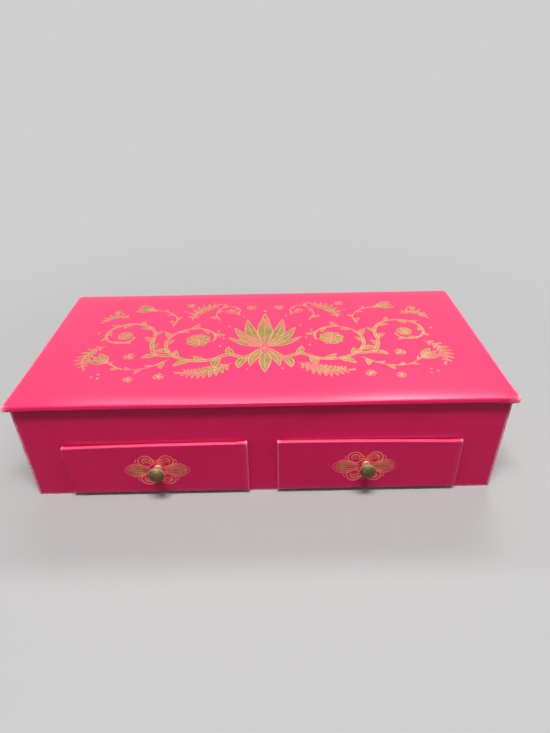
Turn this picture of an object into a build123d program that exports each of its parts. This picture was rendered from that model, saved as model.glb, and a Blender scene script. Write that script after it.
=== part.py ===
from build123d import *
import os

# A stationery chest: a greyboard case covered in leatherette, with a padded lid on a cloth hinge
# over one shallow compartment, and two drawers side by side below it. Millimetres. The origin is
# the middle of the case's underside: X runs to the right, Y to the back and Z up.

# Case, measured outside over its covering
case_width = 336.6
case_depth = 167.6
rim_height = 80.1
case_corner_radius = 1.2
rim_turn_in = 10.0

# Sheets and boards
cover_thickness = 0.4
lining_thickness = 0.3
bottom_sheet_thickness = 0.4
bottom_sheet_margin = 1.0
floor_thickness = 2.5
wall_thickness = 2.5
shelf_thickness = 2.5
guide_thickness = 2.0
tray_thickness = 1.6
front_board_thickness = 2.5

# Lid
lid_overhang_side = 3.2
lid_overhang_front = 3.1
lid_board_thickness = 3.0
lid_corner_radius = 1.4
lid_edge_radius = 0.8
lid_turn_in = 15.0
lid_lining_thickness = 0.3
padding_edge_thickness = 0.1
padding_crown_thickness = 0.7
padding_slope = 14.0

# Cloth hinge along the back
hinge_thickness = 0.4
hinge_margin = 1.5
hinge_leaf_height = 28.0
hinge_relief = 0.7

# Ribbon that stops the lid upright, folded away while the lid is shut
stay_reach = 95.0
stay_fold_length = 33.0
stay_width = 12.0
stay_thickness = 0.4
stay_spread = 9.0
stay_drop = 0.3

# Drawer fronts, which overlap their openings
drawer_side_margin = 27.0
drawer_front_height = 43.8
drawer_front_bottom = 3.6
drawer_front_gap = 21.0
drawer_pair_shift = -0.9
drawer_overlap = 3.4
drawer_edge_radius = 0.9

# Drawer trays and the bays that they run in
tray_side_clearance = 0.6
tray_top_clearance = 1.0
tray_rear_clearance = 1.5
tray_lift = 0.1
bay_headroom = 1.4

# Divider between note sheets and envelopes
divider_thickness = 2.4
divider_drop = 4.9
envelope_space = 115.0

# Brass knob, its screw and its washer
knob_rise = 2.2
left_knob_shift = 0.5
right_knob_shift = -1.6
knob_foot_radius = 3.0
knob_foot_thickness = 0.6
knob_neck_radius = 2.7
knob_neck_length = 1.3
knob_head_radius = 5.7
knob_head_start = 6.2
knob_rim_thickness = 1.9
knob_length = 10.6
knob_bore_depth = 6.5
screw_radius = 1.3
screw_head_radius = 2.6
screw_head_thickness = 1.6
screw_thread_length = 5.5
thread_clearance = 0.05
screw_hole_clearance = 0.3
washer_radius = 4.0
washer_thickness = 0.6

# Planes of the case
half_width = case_width / 2
front_y = -case_depth / 2
back_y = case_depth / 2
wall_half_width = half_width - cover_thickness
wall_front = front_y + cover_thickness
wall_back = back_y - cover_thickness
inner_half_width = wall_half_width - wall_thickness
inner_front = wall_front + wall_thickness
inner_back = wall_back - wall_thickness

# Levels of the case, from the floor up
boards_low = bottom_sheet_thickness
floor_top = boards_low + floor_thickness
opening_low = floor_top + cover_thickness
opening_top = drawer_front_bottom + drawer_front_height - drawer_overlap
shelf_low = opening_top + bay_headroom
shelf_top = shelf_low + shelf_thickness
compartment_floor = shelf_top + lining_thickness
wall_top = rim_height - cover_thickness
turn_in_low = rim_height - rim_turn_in

# Levels and edges of the lid
lid_width = case_width + 2 * lid_overhang_side
lid_front = front_y - lid_overhang_front
lid_depth = back_y - lid_front
lid_middle_y = (back_y + lid_front) / 2
lid_board_low = rim_height + cover_thickness
lid_board_top = lid_board_low + lid_board_thickness
padding_edge_top = lid_board_top + padding_edge_thickness
padding_crown_top = lid_board_top + padding_crown_thickness
lid_edge_top = padding_edge_top + cover_thickness
lid_crown_top = padding_crown_top + cover_thickness

# Drawers, each about its own middle line
drawer_front_width = (case_width - drawer_front_gap) / 2 - drawer_side_margin
bay_offset = (drawer_front_gap + drawer_front_width) / 2
left_bay_x = drawer_pair_shift - bay_offset
right_bay_x = drawer_pair_shift + bay_offset
opening_half_width = drawer_front_width / 2 - drawer_overlap
guide_face = opening_half_width + cover_thickness
tray_half_width = opening_half_width - tray_side_clearance
tray_low = opening_low + tray_lift
tray_floor_top = tray_low + tray_thickness
tray_top = opening_top - tray_top_clearance
tray_back = inner_back - tray_rear_clearance
drawer_face = front_y - front_board_thickness - 2 * cover_thickness
knob_level = drawer_front_bottom + drawer_front_height / 2 + knob_rise
left_knob_x = left_bay_x + left_knob_shift
right_knob_x = right_bay_x + right_knob_shift


def block(x_span, y_span, z_span):
    """Box between three pairs of planes."""
    spans = (x_span, y_span, z_span)
    centre = [(low + high) / 2 for low, high in spans]
    size = [high - low for low, high in spans]
    return Pos(*centre) * Box(*size)


def rounded_block(width, depth, radius, z_span, middle_y=0.0):
    """Upright plate or block with rounded vertical corners."""
    low, high = z_span
    outline = Pos(0, middle_y, low) * RectangleRounded(width, depth, radius)
    return extrude(outline, high - low, dir=(0, 0, 1))


def crown_section(half, low, edge_top, crown_top, rounding):
    """Upright section that slopes up from each rounded edge to a flat crown."""
    flat = half - padding_slope
    foot = half - rounding
    right_side = [
        Line((0, low), (half, low)),
        Line((half, low), (half, edge_top - rounding)),
        Line((foot, edge_top), (flat, crown_top)),
        Line((flat, crown_top), (0, crown_top)),
    ]
    if rounding:
        corner = rounding * (1 - 0.5**0.5)
        right_side.append(
            ThreePointArc(
                (half, edge_top - rounding), (half - corner, edge_top - corner), (foot, edge_top)
            )
        )
    left_side = [line.mirror(Plane.YZ) for line in right_side]
    return make_face(right_side + left_side)


def crowned_block(inset, low, edge_top, crown_top, rounding=0.0):
    """Lid-shaped block, inset from the lid's outline, that slopes up to a flat crown."""
    half_x = lid_width / 2 - inset
    half_y = lid_depth / 2 - inset
    lengthwise = crown_section(half_x, low, edge_top, crown_top, rounding)
    crosswise = crown_section(half_y, low, edge_top, crown_top, rounding)
    radius = lid_corner_radius - inset
    lid = rounded_block(2 * half_x, 2 * half_y, radius, (low, crown_top))
    lid &= extrude(Plane.XZ * lengthwise, half_y, both=True)
    lid &= extrude(Plane.YZ * crosswise, half_x, both=True)
    return Pos(0, lid_middle_y, 0) * lid


def cylinder_along_y(radius, y_span, x, z):
    """Round bar along Y between two planes."""
    low, high = y_span
    bar = Cylinder(radius, high - low, rotation=(90, 0, 0))
    return Pos(x, (low + high) / 2, z) * bar


# Case


def bottom_sheet():
    """Paper on the underside, which the chest stands on."""
    width = case_width - 2 * bottom_sheet_margin
    depth = case_depth - 2 * bottom_sheet_margin
    return rounded_block(width, depth, case_corner_radius, (0, bottom_sheet_thickness))


def bottom_board():
    """Floor board, held between the four walls."""
    return block(
        (-inner_half_width, inner_half_width), (inner_front, inner_back), (boards_low, floor_top)
    )


def side_board(side):
    """Side wall from front to back, rounded on its two outer edges. Side is -1 or 1."""
    x_span = sorted((side * inner_half_width, side * wall_half_width))
    board = block(x_span, (wall_front, wall_back), (boards_low, wall_top))
    outer_edges = board.edges().filter_by(Axis.Z).group_by(Axis.X)[-1 if side > 0 else 0]
    return fillet(outer_edges, case_corner_radius - cover_thickness)


def back_board():
    """Back wall between the sides."""
    return block(
        (-inner_half_width, inner_half_width), (inner_back, wall_back), (boards_low, wall_top)
    )


def opening_block(bay_x, grow, y_span):
    """The space of a drawer opening, grown on its four edges."""
    return block(
        (bay_x - opening_half_width - grow, bay_x + opening_half_width + grow),
        y_span,
        (opening_low - grow, opening_top + grow),
    )


def front_wall():
    """Front wall between the sides, cut out for the two drawers and their turned-in covering."""
    board = block(
        (-inner_half_width, inner_half_width), (wall_front, inner_front), (boards_low, wall_top)
    )
    for bay_x in (left_bay_x, right_bay_x):
        board -= opening_block(bay_x, cover_thickness, (wall_front, inner_front))
    return board


def shelf_board():
    """Floor of the upper compartment, on the guides."""
    return block(
        (-inner_half_width, inner_half_width), (inner_front, inner_back), (shelf_low, shelf_top)
    )


def guide_board(bay_x, side):
    """Upright board beside a drawer bay, which guides the tray and carries the shelf."""
    near = bay_x + side * guide_face
    far = near + side * guide_thickness
    return block(sorted((near, far)), (inner_front, inner_back), (floor_top, shelf_low))


def case_cover():
    """Leatherette round the walls, over the rim and a little way down inside."""
    corner = case_corner_radius
    cover = rounded_block(case_width, case_depth, corner, (boards_low, rim_height))
    wall_depth = wall_back - wall_front
    walls = rounded_block(
        2 * wall_half_width, wall_depth, corner - cover_thickness, (boards_low, wall_top)
    )
    inner_x = (-inner_half_width, inner_half_width)
    inner_y = (inner_front, inner_back)
    walls -= block(inner_x, inner_y, (boards_low, wall_top))
    turn_in_x = (-inner_half_width + cover_thickness, inner_half_width - cover_thickness)
    turn_in_y = (inner_front + cover_thickness, inner_back - cover_thickness)
    cover -= walls
    cover -= block(turn_in_x, turn_in_y, (boards_low, rim_height))
    cover -= block(inner_x, inner_y, (boards_low, turn_in_low))
    for bay_x in (left_bay_x, right_bay_x):
        cover += opening_block(bay_x, cover_thickness, (front_y, inner_front))
        cover -= opening_block(bay_x, 0, (front_y, inner_front))
    return cover


def compartment_lining():
    """Paper on the shelf and up the walls, as far as the turned-in covering."""
    outer = block(
        (-inner_half_width, inner_half_width), (inner_front, inner_back), (shelf_top, turn_in_low)
    )
    inset = lining_thickness
    inner = block(
        (-inner_half_width + inset, inner_half_width - inset),
        (inner_front + inset, inner_back - inset),
        (compartment_floor, turn_in_low),
    )
    return outer - inner


def letter_divider():
    """Covered board across the compartment, between note sheets and envelopes."""
    right = inner_half_width - lining_thickness - envelope_space
    return block(
        (right - divider_thickness, right),
        (inner_front + cover_thickness, inner_back - cover_thickness),
        (compartment_floor, rim_height - divider_drop),
    )


def hinge_case_leaf():
    """Hinge cloth where it is glued to the back of the case."""
    half = half_width - hinge_margin
    top = rim_height - hinge_relief
    return block((-half, half), (back_y, back_y + hinge_thickness), (top - hinge_leaf_height, top))


def stay_ribbon():
    """Ribbon from the right wall to the lid, folded back on itself in plan and standing on edge."""
    wall_x = inner_half_width - cover_thickness
    lid_x = wall_x - stay_spread
    start_y = back_y - stay_reach
    fold_y = start_y + stay_fold_length
    radius = stay_spread / 2
    inner_radius = radius - stay_thickness
    middle_x = wall_x - radius
    outer_fold = ThreePointArc(
        (wall_x, fold_y), (middle_x, fold_y + radius), (lid_x, fold_y)
    )
    inner_fold = ThreePointArc(
        (lid_x + stay_thickness, fold_y),
        (middle_x, fold_y + inner_radius),
        (wall_x - stay_thickness, fold_y),
    )
    outline = [
        Line((wall_x, start_y), (wall_x, fold_y)),
        outer_fold,
        Line((lid_x, fold_y), (lid_x, start_y)),
        Line((lid_x, start_y), (lid_x + stay_thickness, start_y)),
        Line((lid_x + stay_thickness, start_y), (lid_x + stay_thickness, fold_y)),
        inner_fold,
        Line((wall_x - stay_thickness, fold_y), (wall_x - stay_thickness, start_y)),
        Line((wall_x - stay_thickness, start_y), (wall_x, start_y)),
    ]
    low = rim_height - stay_drop - stay_width
    return extrude(Pos(0, 0, low) * make_face(outline), stay_width, dir=(0, 0, 1))


# Lid


def lid_board():
    """Stiff board inside the lid."""
    return rounded_block(
        lid_width - 2 * cover_thickness,
        lid_depth - 2 * cover_thickness,
        lid_corner_radius - cover_thickness,
        (lid_board_low, lid_board_top),
        lid_middle_y,
    )


def lid_padding():
    """Thin wadding on the lid board, crowned towards the middle."""
    return crowned_block(cover_thickness, lid_board_top, padding_edge_top, padding_crown_top)


def lid_cover():
    """Leatherette over the lid, round its edges and turned in underneath."""
    cover = crowned_block(0, rim_height, lid_edge_top, lid_crown_top, lid_edge_radius)
    cover -= crowned_block(cover_thickness, lid_board_low, padding_edge_top, padding_crown_top)
    cover -= block(
        (lid_turn_in - lid_width / 2, lid_width / 2 - lid_turn_in),
        (lid_front + lid_turn_in, back_y - lid_turn_in),
        (rim_height, lid_board_low),
    )
    return cover


def lid_lining():
    """Paper panel inside the lid, within the turned-in covering."""
    return block(
        (lid_turn_in - lid_width / 2, lid_width / 2 - lid_turn_in),
        (lid_front + lid_turn_in, back_y - lid_turn_in),
        (lid_board_low - lid_lining_thickness, lid_board_low),
    )


def hinge_lid_leaf():
    """Hinge cloth where it is glued to the back edge of the lid."""
    half = half_width - hinge_margin
    y_span = (back_y, back_y + hinge_thickness)
    return block((-half, half), y_span, (rim_height + hinge_relief, padding_edge_top))


# Drawers


def screw_hole(knob_x):
    """Clearance hole for the knob's screw, through the drawer's front boards."""
    radius = screw_radius + screw_hole_clearance
    y_span = (drawer_face, front_y + tray_thickness + lining_thickness)
    return cylinder_along_y(radius, y_span, knob_x, knob_level)


def drawer_front_block(bay_x, inset, y_span):
    """The outline of a drawer front, inset on its four edges."""
    half = drawer_front_width / 2 - inset
    z_span = (drawer_front_bottom + inset, drawer_front_bottom + drawer_front_height - inset)
    return block((bay_x - half, bay_x + half), y_span, z_span)


def drawer_front_board(bay_x, knob_x):
    """Board inside the drawer front."""
    y_span = (drawer_face + cover_thickness, front_y - cover_thickness)
    return drawer_front_block(bay_x, cover_thickness, y_span) - screw_hole(knob_x)


def drawer_front_cover(bay_x, knob_x):
    """Leatherette all round the drawer front."""
    cover = drawer_front_block(bay_x, 0, (drawer_face, front_y))
    cover = fillet(cover.faces().sort_by(Axis.Y)[0].edges(), drawer_edge_radius)
    y_span = (drawer_face + cover_thickness, front_y - cover_thickness)
    return cover - drawer_front_block(bay_x, cover_thickness, y_span) - screw_hole(knob_x)


def tray_bottom(bay_x):
    """Floor of the tray, under its four walls."""
    x_span = (bay_x - tray_half_width, bay_x + tray_half_width)
    return block(x_span, (front_y, tray_back), (tray_low, tray_floor_top))


def tray_side(bay_x, side):
    """Long wall of the tray. Side is -1 or 1."""
    outer = bay_x + side * tray_half_width
    inner = outer - side * tray_thickness
    return block(sorted((inner, outer)), (front_y, tray_back), (tray_floor_top, tray_top))


def tray_end(bay_x, y_span):
    """Short wall of the tray, between the long ones."""
    half = tray_half_width - tray_thickness
    return block((bay_x - half, bay_x + half), y_span, (tray_floor_top, tray_top))


def tray_lining(bay_x, knob_x):
    """Paper on the floor and walls inside the tray."""
    half = tray_half_width - tray_thickness
    front = front_y + tray_thickness
    back = tray_back - tray_thickness
    inset = lining_thickness
    outer = block((bay_x - half, bay_x + half), (front, back), (tray_floor_top, tray_top))
    inner = block(
        (bay_x - half + inset, bay_x + half - inset),
        (front + inset, back - inset),
        (tray_floor_top + inset, tray_top),
    )
    return outer - inner - screw_hole(knob_x)


def knob(knob_x):
    """Turned knob: a foot, a short neck and a conical head with a low dome."""
    foot_end = -knob_foot_thickness
    neck_end = -knob_neck_length
    head_start = -knob_head_start
    head_end = head_start - knob_rim_thickness
    outline = [
        Line((0, 0), (knob_foot_radius, 0)),
        Line((knob_foot_radius, 0), (knob_foot_radius, foot_end)),
        Line((knob_foot_radius, foot_end), (knob_neck_radius, foot_end)),
        Line((knob_neck_radius, foot_end), (knob_neck_radius, neck_end)),
        Line((knob_neck_radius, neck_end), (knob_head_radius, head_start)),
        Line((knob_head_radius, head_start), (knob_head_radius, head_end)),
        dome_arc(head_end),
        Line((0, -knob_length), (0, 0)),
    ]
    turned = revolve(make_face(outline), Axis.Y)
    placed = Pos(knob_x, drawer_face, knob_level) * turned
    bore = (drawer_face - knob_bore_depth, drawer_face)
    return placed - cylinder_along_y(screw_radius + thread_clearance, bore, knob_x, knob_level)


def dome_arc(head_end):
    """Arc from the rim of the knob's head to its middle, square to the axis there."""
    rise = knob_length + head_end
    radius = (knob_head_radius**2 + rise**2) / (2 * rise)
    centre_y = radius - knob_length
    middle_x = knob_head_radius / 2
    middle_y = centre_y - (radius**2 - middle_x**2) ** 0.5
    return ThreePointArc((knob_head_radius, head_end), (middle_x, middle_y), (0, -knob_length))


def knob_washer(knob_x):
    """Washer under the screw's head, on the lining inside the tray."""
    seat = front_y + tray_thickness + lining_thickness
    y_span = (seat, seat + washer_thickness)
    disc = cylinder_along_y(washer_radius, y_span, knob_x, knob_level)
    hole_radius = screw_radius + screw_hole_clearance
    return disc - cylinder_along_y(hole_radius, y_span, knob_x, knob_level)


def knob_screw(knob_x):
    """Screw from inside the tray into the knob."""
    seat = front_y + tray_thickness + lining_thickness + washer_thickness
    shank = cylinder_along_y(
        screw_radius, (drawer_face - screw_thread_length, seat), knob_x, knob_level
    )
    head = cylinder_along_y(
        screw_head_radius, (seat, seat + screw_head_thickness), knob_x, knob_level
    )
    head = fillet(head.edges().sort_by(Axis.Y)[-1], screw_head_thickness / 2)
    return shank + head


def drawer_nodes(name, bay_x, knob_x):
    """Every piece of one drawer, by node name."""
    front_end = (front_y, front_y + tray_thickness)
    back_end = (tray_back - tray_thickness, tray_back)
    return {
        f"{name}_drawer_front_board": drawer_front_board(bay_x, knob_x),
        f"{name}_drawer_front_cover": drawer_front_cover(bay_x, knob_x),
        f"{name}_tray_bottom": tray_bottom(bay_x),
        f"{name}_tray_left_side": tray_side(bay_x, -1),
        f"{name}_tray_right_side": tray_side(bay_x, 1),
        f"{name}_tray_front": tray_end(bay_x, front_end) - screw_hole(knob_x),
        f"{name}_tray_back": tray_end(bay_x, back_end),
        f"{name}_tray_lining": tray_lining(bay_x, knob_x),
        f"{name}_knob": knob(knob_x),
        f"{name}_knob_washer": knob_washer(knob_x),
        f"{name}_knob_screw": knob_screw(knob_x),
    }


def case_nodes():
    """Every piece of the case, by node name."""
    nodes = {
        "bottom_sheet": bottom_sheet(),
        "bottom_board": bottom_board(),
        "left_side_board": side_board(-1),
        "right_side_board": side_board(1),
        "back_board": back_board(),
        "front_wall": front_wall(),
        "shelf_board": shelf_board(),
        "case_cover": case_cover(),
        "compartment_lining": compartment_lining(),
        "letter_divider": letter_divider(),
        "hinge_case_leaf": hinge_case_leaf(),
        "stay_ribbon": stay_ribbon(),
    }
    for name, bay_x in (("left", left_bay_x), ("right", right_bay_x)):
        nodes[f"{name}_bay_left_guide"] = guide_board(bay_x, -1)
        nodes[f"{name}_bay_right_guide"] = guide_board(bay_x, 1)
    return nodes


def lid_nodes():
    """Every piece of the lid, by node name."""
    return {
        "lid_board": lid_board(),
        "lid_padding": lid_padding(),
        "lid_cover": lid_cover(),
        "lid_lining": lid_lining(),
        "hinge_lid_leaf": hinge_lid_leaf(),
    }


def main():
    """Build every piece and write one file for each."""
    nodes = case_nodes() | lid_nodes()
    nodes |= drawer_nodes("left", left_bay_x, left_knob_x)
    nodes |= drawer_nodes("right", right_bay_x, right_knob_x)
    os.makedirs("parts", exist_ok=True)
    for name, solid in nodes.items():
        export_step(solid, f"parts/{name}.step")


main()
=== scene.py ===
"""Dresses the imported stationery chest: coverings, foil stamping, papers, ribbon and metal."""

import logging
import math
from collections.abc import Callable, Iterable, Sequence
from dataclasses import dataclass, field
from enum import Enum
from functools import cached_property

import bmesh
import bpy
from mathutils import Matrix, Vector, geometry, noise


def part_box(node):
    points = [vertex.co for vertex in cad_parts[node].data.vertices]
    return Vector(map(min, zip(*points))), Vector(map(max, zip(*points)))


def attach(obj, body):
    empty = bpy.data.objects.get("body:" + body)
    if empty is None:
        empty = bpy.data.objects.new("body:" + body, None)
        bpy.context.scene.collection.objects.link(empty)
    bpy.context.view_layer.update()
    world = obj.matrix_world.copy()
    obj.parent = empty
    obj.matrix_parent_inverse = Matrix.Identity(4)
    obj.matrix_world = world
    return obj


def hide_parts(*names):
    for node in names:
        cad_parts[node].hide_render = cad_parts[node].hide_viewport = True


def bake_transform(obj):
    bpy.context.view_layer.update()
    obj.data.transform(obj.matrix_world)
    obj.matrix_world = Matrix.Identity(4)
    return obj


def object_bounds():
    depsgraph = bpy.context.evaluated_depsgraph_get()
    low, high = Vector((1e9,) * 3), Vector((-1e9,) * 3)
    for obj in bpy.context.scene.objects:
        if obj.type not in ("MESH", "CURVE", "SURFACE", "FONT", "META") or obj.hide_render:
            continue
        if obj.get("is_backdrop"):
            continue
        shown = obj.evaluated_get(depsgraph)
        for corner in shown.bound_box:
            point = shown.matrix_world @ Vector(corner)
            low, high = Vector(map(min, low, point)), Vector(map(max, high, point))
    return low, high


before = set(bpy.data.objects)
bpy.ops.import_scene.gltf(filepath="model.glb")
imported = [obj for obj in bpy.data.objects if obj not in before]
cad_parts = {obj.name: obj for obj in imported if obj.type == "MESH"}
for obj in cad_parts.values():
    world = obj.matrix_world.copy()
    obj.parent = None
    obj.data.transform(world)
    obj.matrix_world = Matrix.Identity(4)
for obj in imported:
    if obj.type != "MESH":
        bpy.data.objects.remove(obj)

log = logging.getLogger("chest")

MILLIMETRE = 0.001
# How far from a plane a point still counts as on it, in millimetres.
NEAR = 0.1
RIGHT = Vector((1, 0, 0))
BACK = Vector((0, 1, 0))
UP = Vector((0, 0, 1))
Colour = tuple[float, float, float]
Place = tuple[float, float, float]
Point = tuple[float, float]
# A value at the left and one at the right.
Pair = tuple[float, float]
Verts = list[bmesh.types.BMVert]
Edges = list[bmesh.types.BMEdge]
Faces = list[bmesh.types.BMFace]
# A test of a face's middle and normal, or of the two ends of an edge.
Test = Callable[[Vector, Vector], bool]


class Slot(Enum):
    """Names of material slots."""

    LEATHERETTE = "leatherette"
    BOARD = "greyboard"
    LINING = "lining_paper"
    WADDING = "wadding"
    RIBBON = "ribbon"
    BRASS = "brass"
    STEEL = "steel"


class Side(Enum):
    """The two sides of the chest, with the sign of X on each."""

    LEFT = -1
    RIGHT = 1

    @property
    def word(self) -> str:
        """The side's name as it stands in the names of pieces."""
        return self.name.lower()


def ease(share: float) -> float:
    """Goes smoothly from 0 to 1 as the share does, and stays there outside."""
    share = min(max(share, 0.0), 1.0)
    return share * share * (3 - 2 * share)


def fall(gap: float, start: float, width: float) -> float:
    """Goes smoothly from 1, up to where a gap starts to count, to 0 a width further on."""
    return 1 - ease((gap - start) / width)


def swell(share: float) -> float:
    """Rises from 0 to 1 like a parabola that is level at its top."""
    share = min(max(share, 0.0), 1.0)
    return 1 - (1 - share) ** 2


def corners(node: str) -> tuple[Vector, Vector]:
    """The lowest and highest corner of a CAD node in millimetres."""
    low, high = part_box(node)
    return low / MILLIMETRE, high / MILLIMETRE


# Shaders


class Flow:
    """A shader socket that takes part in Python sums.

    Attributes:
        shade: the tree that the socket is in.
        socket: the output that the value comes from.
    """

    def __init__(self, shade: "Shade", socket: bpy.types.NodeSocket) -> None:
        """Wraps an output socket."""
        self.shade = shade
        self.socket = socket

    def __add__(self, other: "Flow | float") -> "Flow":
        """Sum with a flow or number."""
        return self.shade.maths("ADD", self, other)

    def __radd__(self, other: float) -> "Flow":
        """Sum with a number on the left."""
        return self.shade.maths("ADD", other, self)

    def __sub__(self, other: "Flow | float") -> "Flow":
        """Difference from a flow or number."""
        return self.shade.maths("SUBTRACT", self, other)

    def __rsub__(self, other: float) -> "Flow":
        """A number less this flow."""
        return self.shade.maths("SUBTRACT", other, self)

    def __mul__(self, other: "Flow | float") -> "Flow":
        """Product with a flow or number."""
        return self.shade.maths("MULTIPLY", self, other)

    def __rmul__(self, other: float) -> "Flow":
        """Product with a number on the left."""
        return self.shade.maths("MULTIPLY", other, self)

    def rise(self, low: float, high: float) -> "Flow":
        """Smooth step from 0 at low to 1 at high."""
        values = {"Value": self, "From Min": low, "From Max": high}
        return self.shade.node("ShaderNodeMapRange", {"interpolation_type": "SMOOTHSTEP"}, values)


class Shade:
    """Builds one node tree, for a material or the world."""

    def __init__(self, tree: bpy.types.NodeTree) -> None:
        """Starts on an emptied tree."""
        self.tree = tree
        tree.nodes.clear()

    def node(self, kind: str, settings: dict, values: dict, output: int | str = 0) -> Flow:
        """Adds a node.

        Args:
            kind: the node's type.
            settings: the node's own properties, set first.
            values: a number, colour, vector or flow for each socket, by name or place.
            output: the output that is wanted.

        Returns:
            The flow from that output.
        """
        made = self.tree.nodes.new(kind)
        for name, setting in settings.items():
            setattr(made, name, setting)
        for name, value in values.items():
            socket = made.inputs[name]
            if isinstance(value, Flow):
                self.tree.links.new(value.socket, socket)
            elif socket.type == "RGBA" and len(value) == 3:
                socket.default_value = (*value, 1.0)
            else:
                socket.default_value = value
        return Flow(self, made.outputs[output]) if len(made.outputs) else Flow(self, None)

    def maths(self, operation: str, first: Flow | float, second: Flow | float) -> Flow:
        """Adds a Math node."""
        return self.node("ShaderNodeMath", {"operation": operation}, {0: first, 1: second})

    def place(self) -> Flow:
        """Object coordinates, in metres."""
        return self.node("ShaderNodeTexCoord", {}, {}, "Object")

    def mark(self, name: str) -> Flow:
        """A number that the mesh carries on its points."""
        return self.node("ShaderNodeAttribute", {"attribute_name": name}, {}, "Fac")

    def clouds(self, place: Flow, size: float, detail: float = 2.0, twist: float = 0.0) -> Flow:
        """Noise whose patches are about size metres across."""
        values = {"Vector": place, "Scale": 1 / size, "Detail": detail, "Distortion": twist}
        return self.node("ShaderNodeTexNoise", {}, values)

    def cells(self, place: Flow, size: float) -> Flow:
        """Rounded grains about size metres across."""
        values = {"Vector": place, "Scale": 1 / size, "Smoothness": 0.6}
        return self.node("ShaderNodeTexVoronoi", {"feature": "SMOOTH_F1"}, values)

    def stretched(self, place: Flow, scale: Sequence[float]) -> Flow:
        """A place whose axes are scaled, for patterns that run one way."""
        return self.node("ShaderNodeMapping", {}, {"Vector": place, "Scale": scale})

    def mix(self, first: Flow | Colour, second: Flow | Colour, share: Flow | float) -> Flow:
        """Mixes two colours, all second where share is 1."""
        values = {0: share, 6: first, 7: second}
        return self.node("ShaderNodeMix", {"data_type": "RGBA"}, values, 2)

    def bump(self, height: Flow, depth: float, strength: float, under: Flow | None = None) -> Flow:
        """Normal of a relief, over another where one is given.

        Args:
            height: the relief, from 0 to 1.
            depth: its depth in metres.
            strength: how much of it shows.
            under: the normal that it is laid over.

        Returns:
            The normal.
        """
        values = {"Height": height, "Distance": depth, "Strength": strength}
        if under:
            values["Normal"] = under
        return self.node("ShaderNodeBump", {}, values)

    def principled(self, **values: Flow | float | Colour) -> Flow:
        """A Principled shader; underscores in the sockets' names stand for spaces."""
        named = {name.replace("_", " "): value for name, value in values.items()}
        return self.node("ShaderNodeBsdfPrincipled", {}, named)

    def shown_directly(self) -> Flow:
        """Picks out the rays from the camera, from a gloss and through glass.

        Returns:
            1 for those rays and 0 for the others.
        """
        names = ("Is Camera Ray", "Is Glossy Ray", "Is Transmission Ray")
        camera, gloss, glass = (self.node("ShaderNodeLightPath", {}, {}, name) for name in names)
        either = self.maths("MAXIMUM", camera, gloss)
        return self.maths("MAXIMUM", either, glass)


@dataclass(frozen=True)
class Finish:
    """What every finish has: a name and one material.

    Attributes:
        name: the material's name.
    """

    name: str

    def surface(self, shade: Shade) -> Flow:
        """The finish's shader, which each kind of finish builds."""
        raise NotImplementedError

    @cached_property
    def material(self) -> bpy.types.Material:
        """Makes the material at its first use.

        Returns:
            The material.
        """
        made = bpy.data.materials.new(self.name)
        made.use_nodes = True
        shade = Shade(made.node_tree)
        surface = self.surface(shade)
        shade.node("ShaderNodeOutputMaterial", {}, {"Surface": surface})
        return made


@dataclass(frozen=True)
class Leatherette(Finish):
    """Grained and glazed book cloth, faded and rubbed paler on its edges, with painted highlights
    and painted shade.

    Attributes:
        colour: the cloth.
        deep: its darker patches.
        faded: where the colour has faded evenly, and painted highlights.
        soiled: painted shade in crevices and creases.
        rubbed: where an edge has lost its colour, and painted edge highlights.
        gloss: roughness of the glaze.
        specular: how much light the bare cloth throws back.
        grain: size of the grain in metres.
        patch: size of the darker patches in metres.
        fray: size of the breaks in a worn edge in metres.
        scuff: size of the fine scuffs in metres.
    """

    colour: Colour = (0.80, 0.010, 0.117)
    deep: Colour = (0.70, 0.006, 0.086)
    faded: Colour = (0.88, 0.095, 0.215)
    soiled: Colour = (0.34, 0.001, 0.024)
    rubbed: Colour = (0.96, 0.42, 0.53)
    gloss: float = 0.26
    specular: float = 0.20
    grain: float = 0.0006
    patch: float = 0.035
    fray: float = 0.0022
    scuff: float = 0.012

    def surface(self, shade: Shade) -> Flow:
        """Clouded colour, worn edges, painted highlights and painted shade over a fine grain and a
        slightly uneven board.

        Args:
            shade: the material's node tree.

        Returns:
            The shader.
        """
        place = shade.place()
        # wear on edges and corners, with painted edge highlights
        wear = shade.mark("wear")
        patches = shade.clouds(place, self.patch, 3.0)
        fret = shade.clouds(place, self.fray, 4.0, 0.6)
        rub_and_highlight = wear * (0.35 + fret.rise(0.34, 0.62) * 0.65)
        streaked = shade.stretched(place, (1, 3, 3))
        scuffs = shade.clouds(streaked, self.scuff, 5.0, 1.4).rise(0.70, 0.78)
        cloth = shade.mix(self.colour, self.deep, patches.rise(0.45, 0.85) * 0.6)
        # even fading on the lid, and painted highlights on the drawer edges and the case front
        cloth = shade.mix(cloth, self.faded, shade.mark("fade") * (0.8 + fret * 0.4))
        # painted shade in crevices and creases
        cloth = shade.mix(cloth, self.soiled, shade.mark("soil"))
        cloth = shade.mix(cloth, self.rubbed, scuffs * 0.10)
        grain = shade.cells(place, self.grain)
        cloth = shade.mix(cloth, self.deep, grain.rise(0.35, 0.9) * 0.35)
        uneven = shade.bump(shade.clouds(place, 0.045, 1.0), 0.0006, 0.35)
        relief = grain * -1.0 + shade.clouds(place, 0.00025, 2.0) * 0.35
        return shade.principled(
            Base_Color=shade.mix(cloth, self.rubbed, rub_and_highlight),
            Roughness=self.gloss + patches * 0.06 + rub_and_highlight * 0.15,
            Specular_IOR_Level=self.specular,
            Coat_Weight=shade.mark("glaze"),
            Coat_Roughness=self.gloss,
            Normal=shade.bump(relief, self.grain * 0.1, 0.35, uneven),
        )


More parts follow.
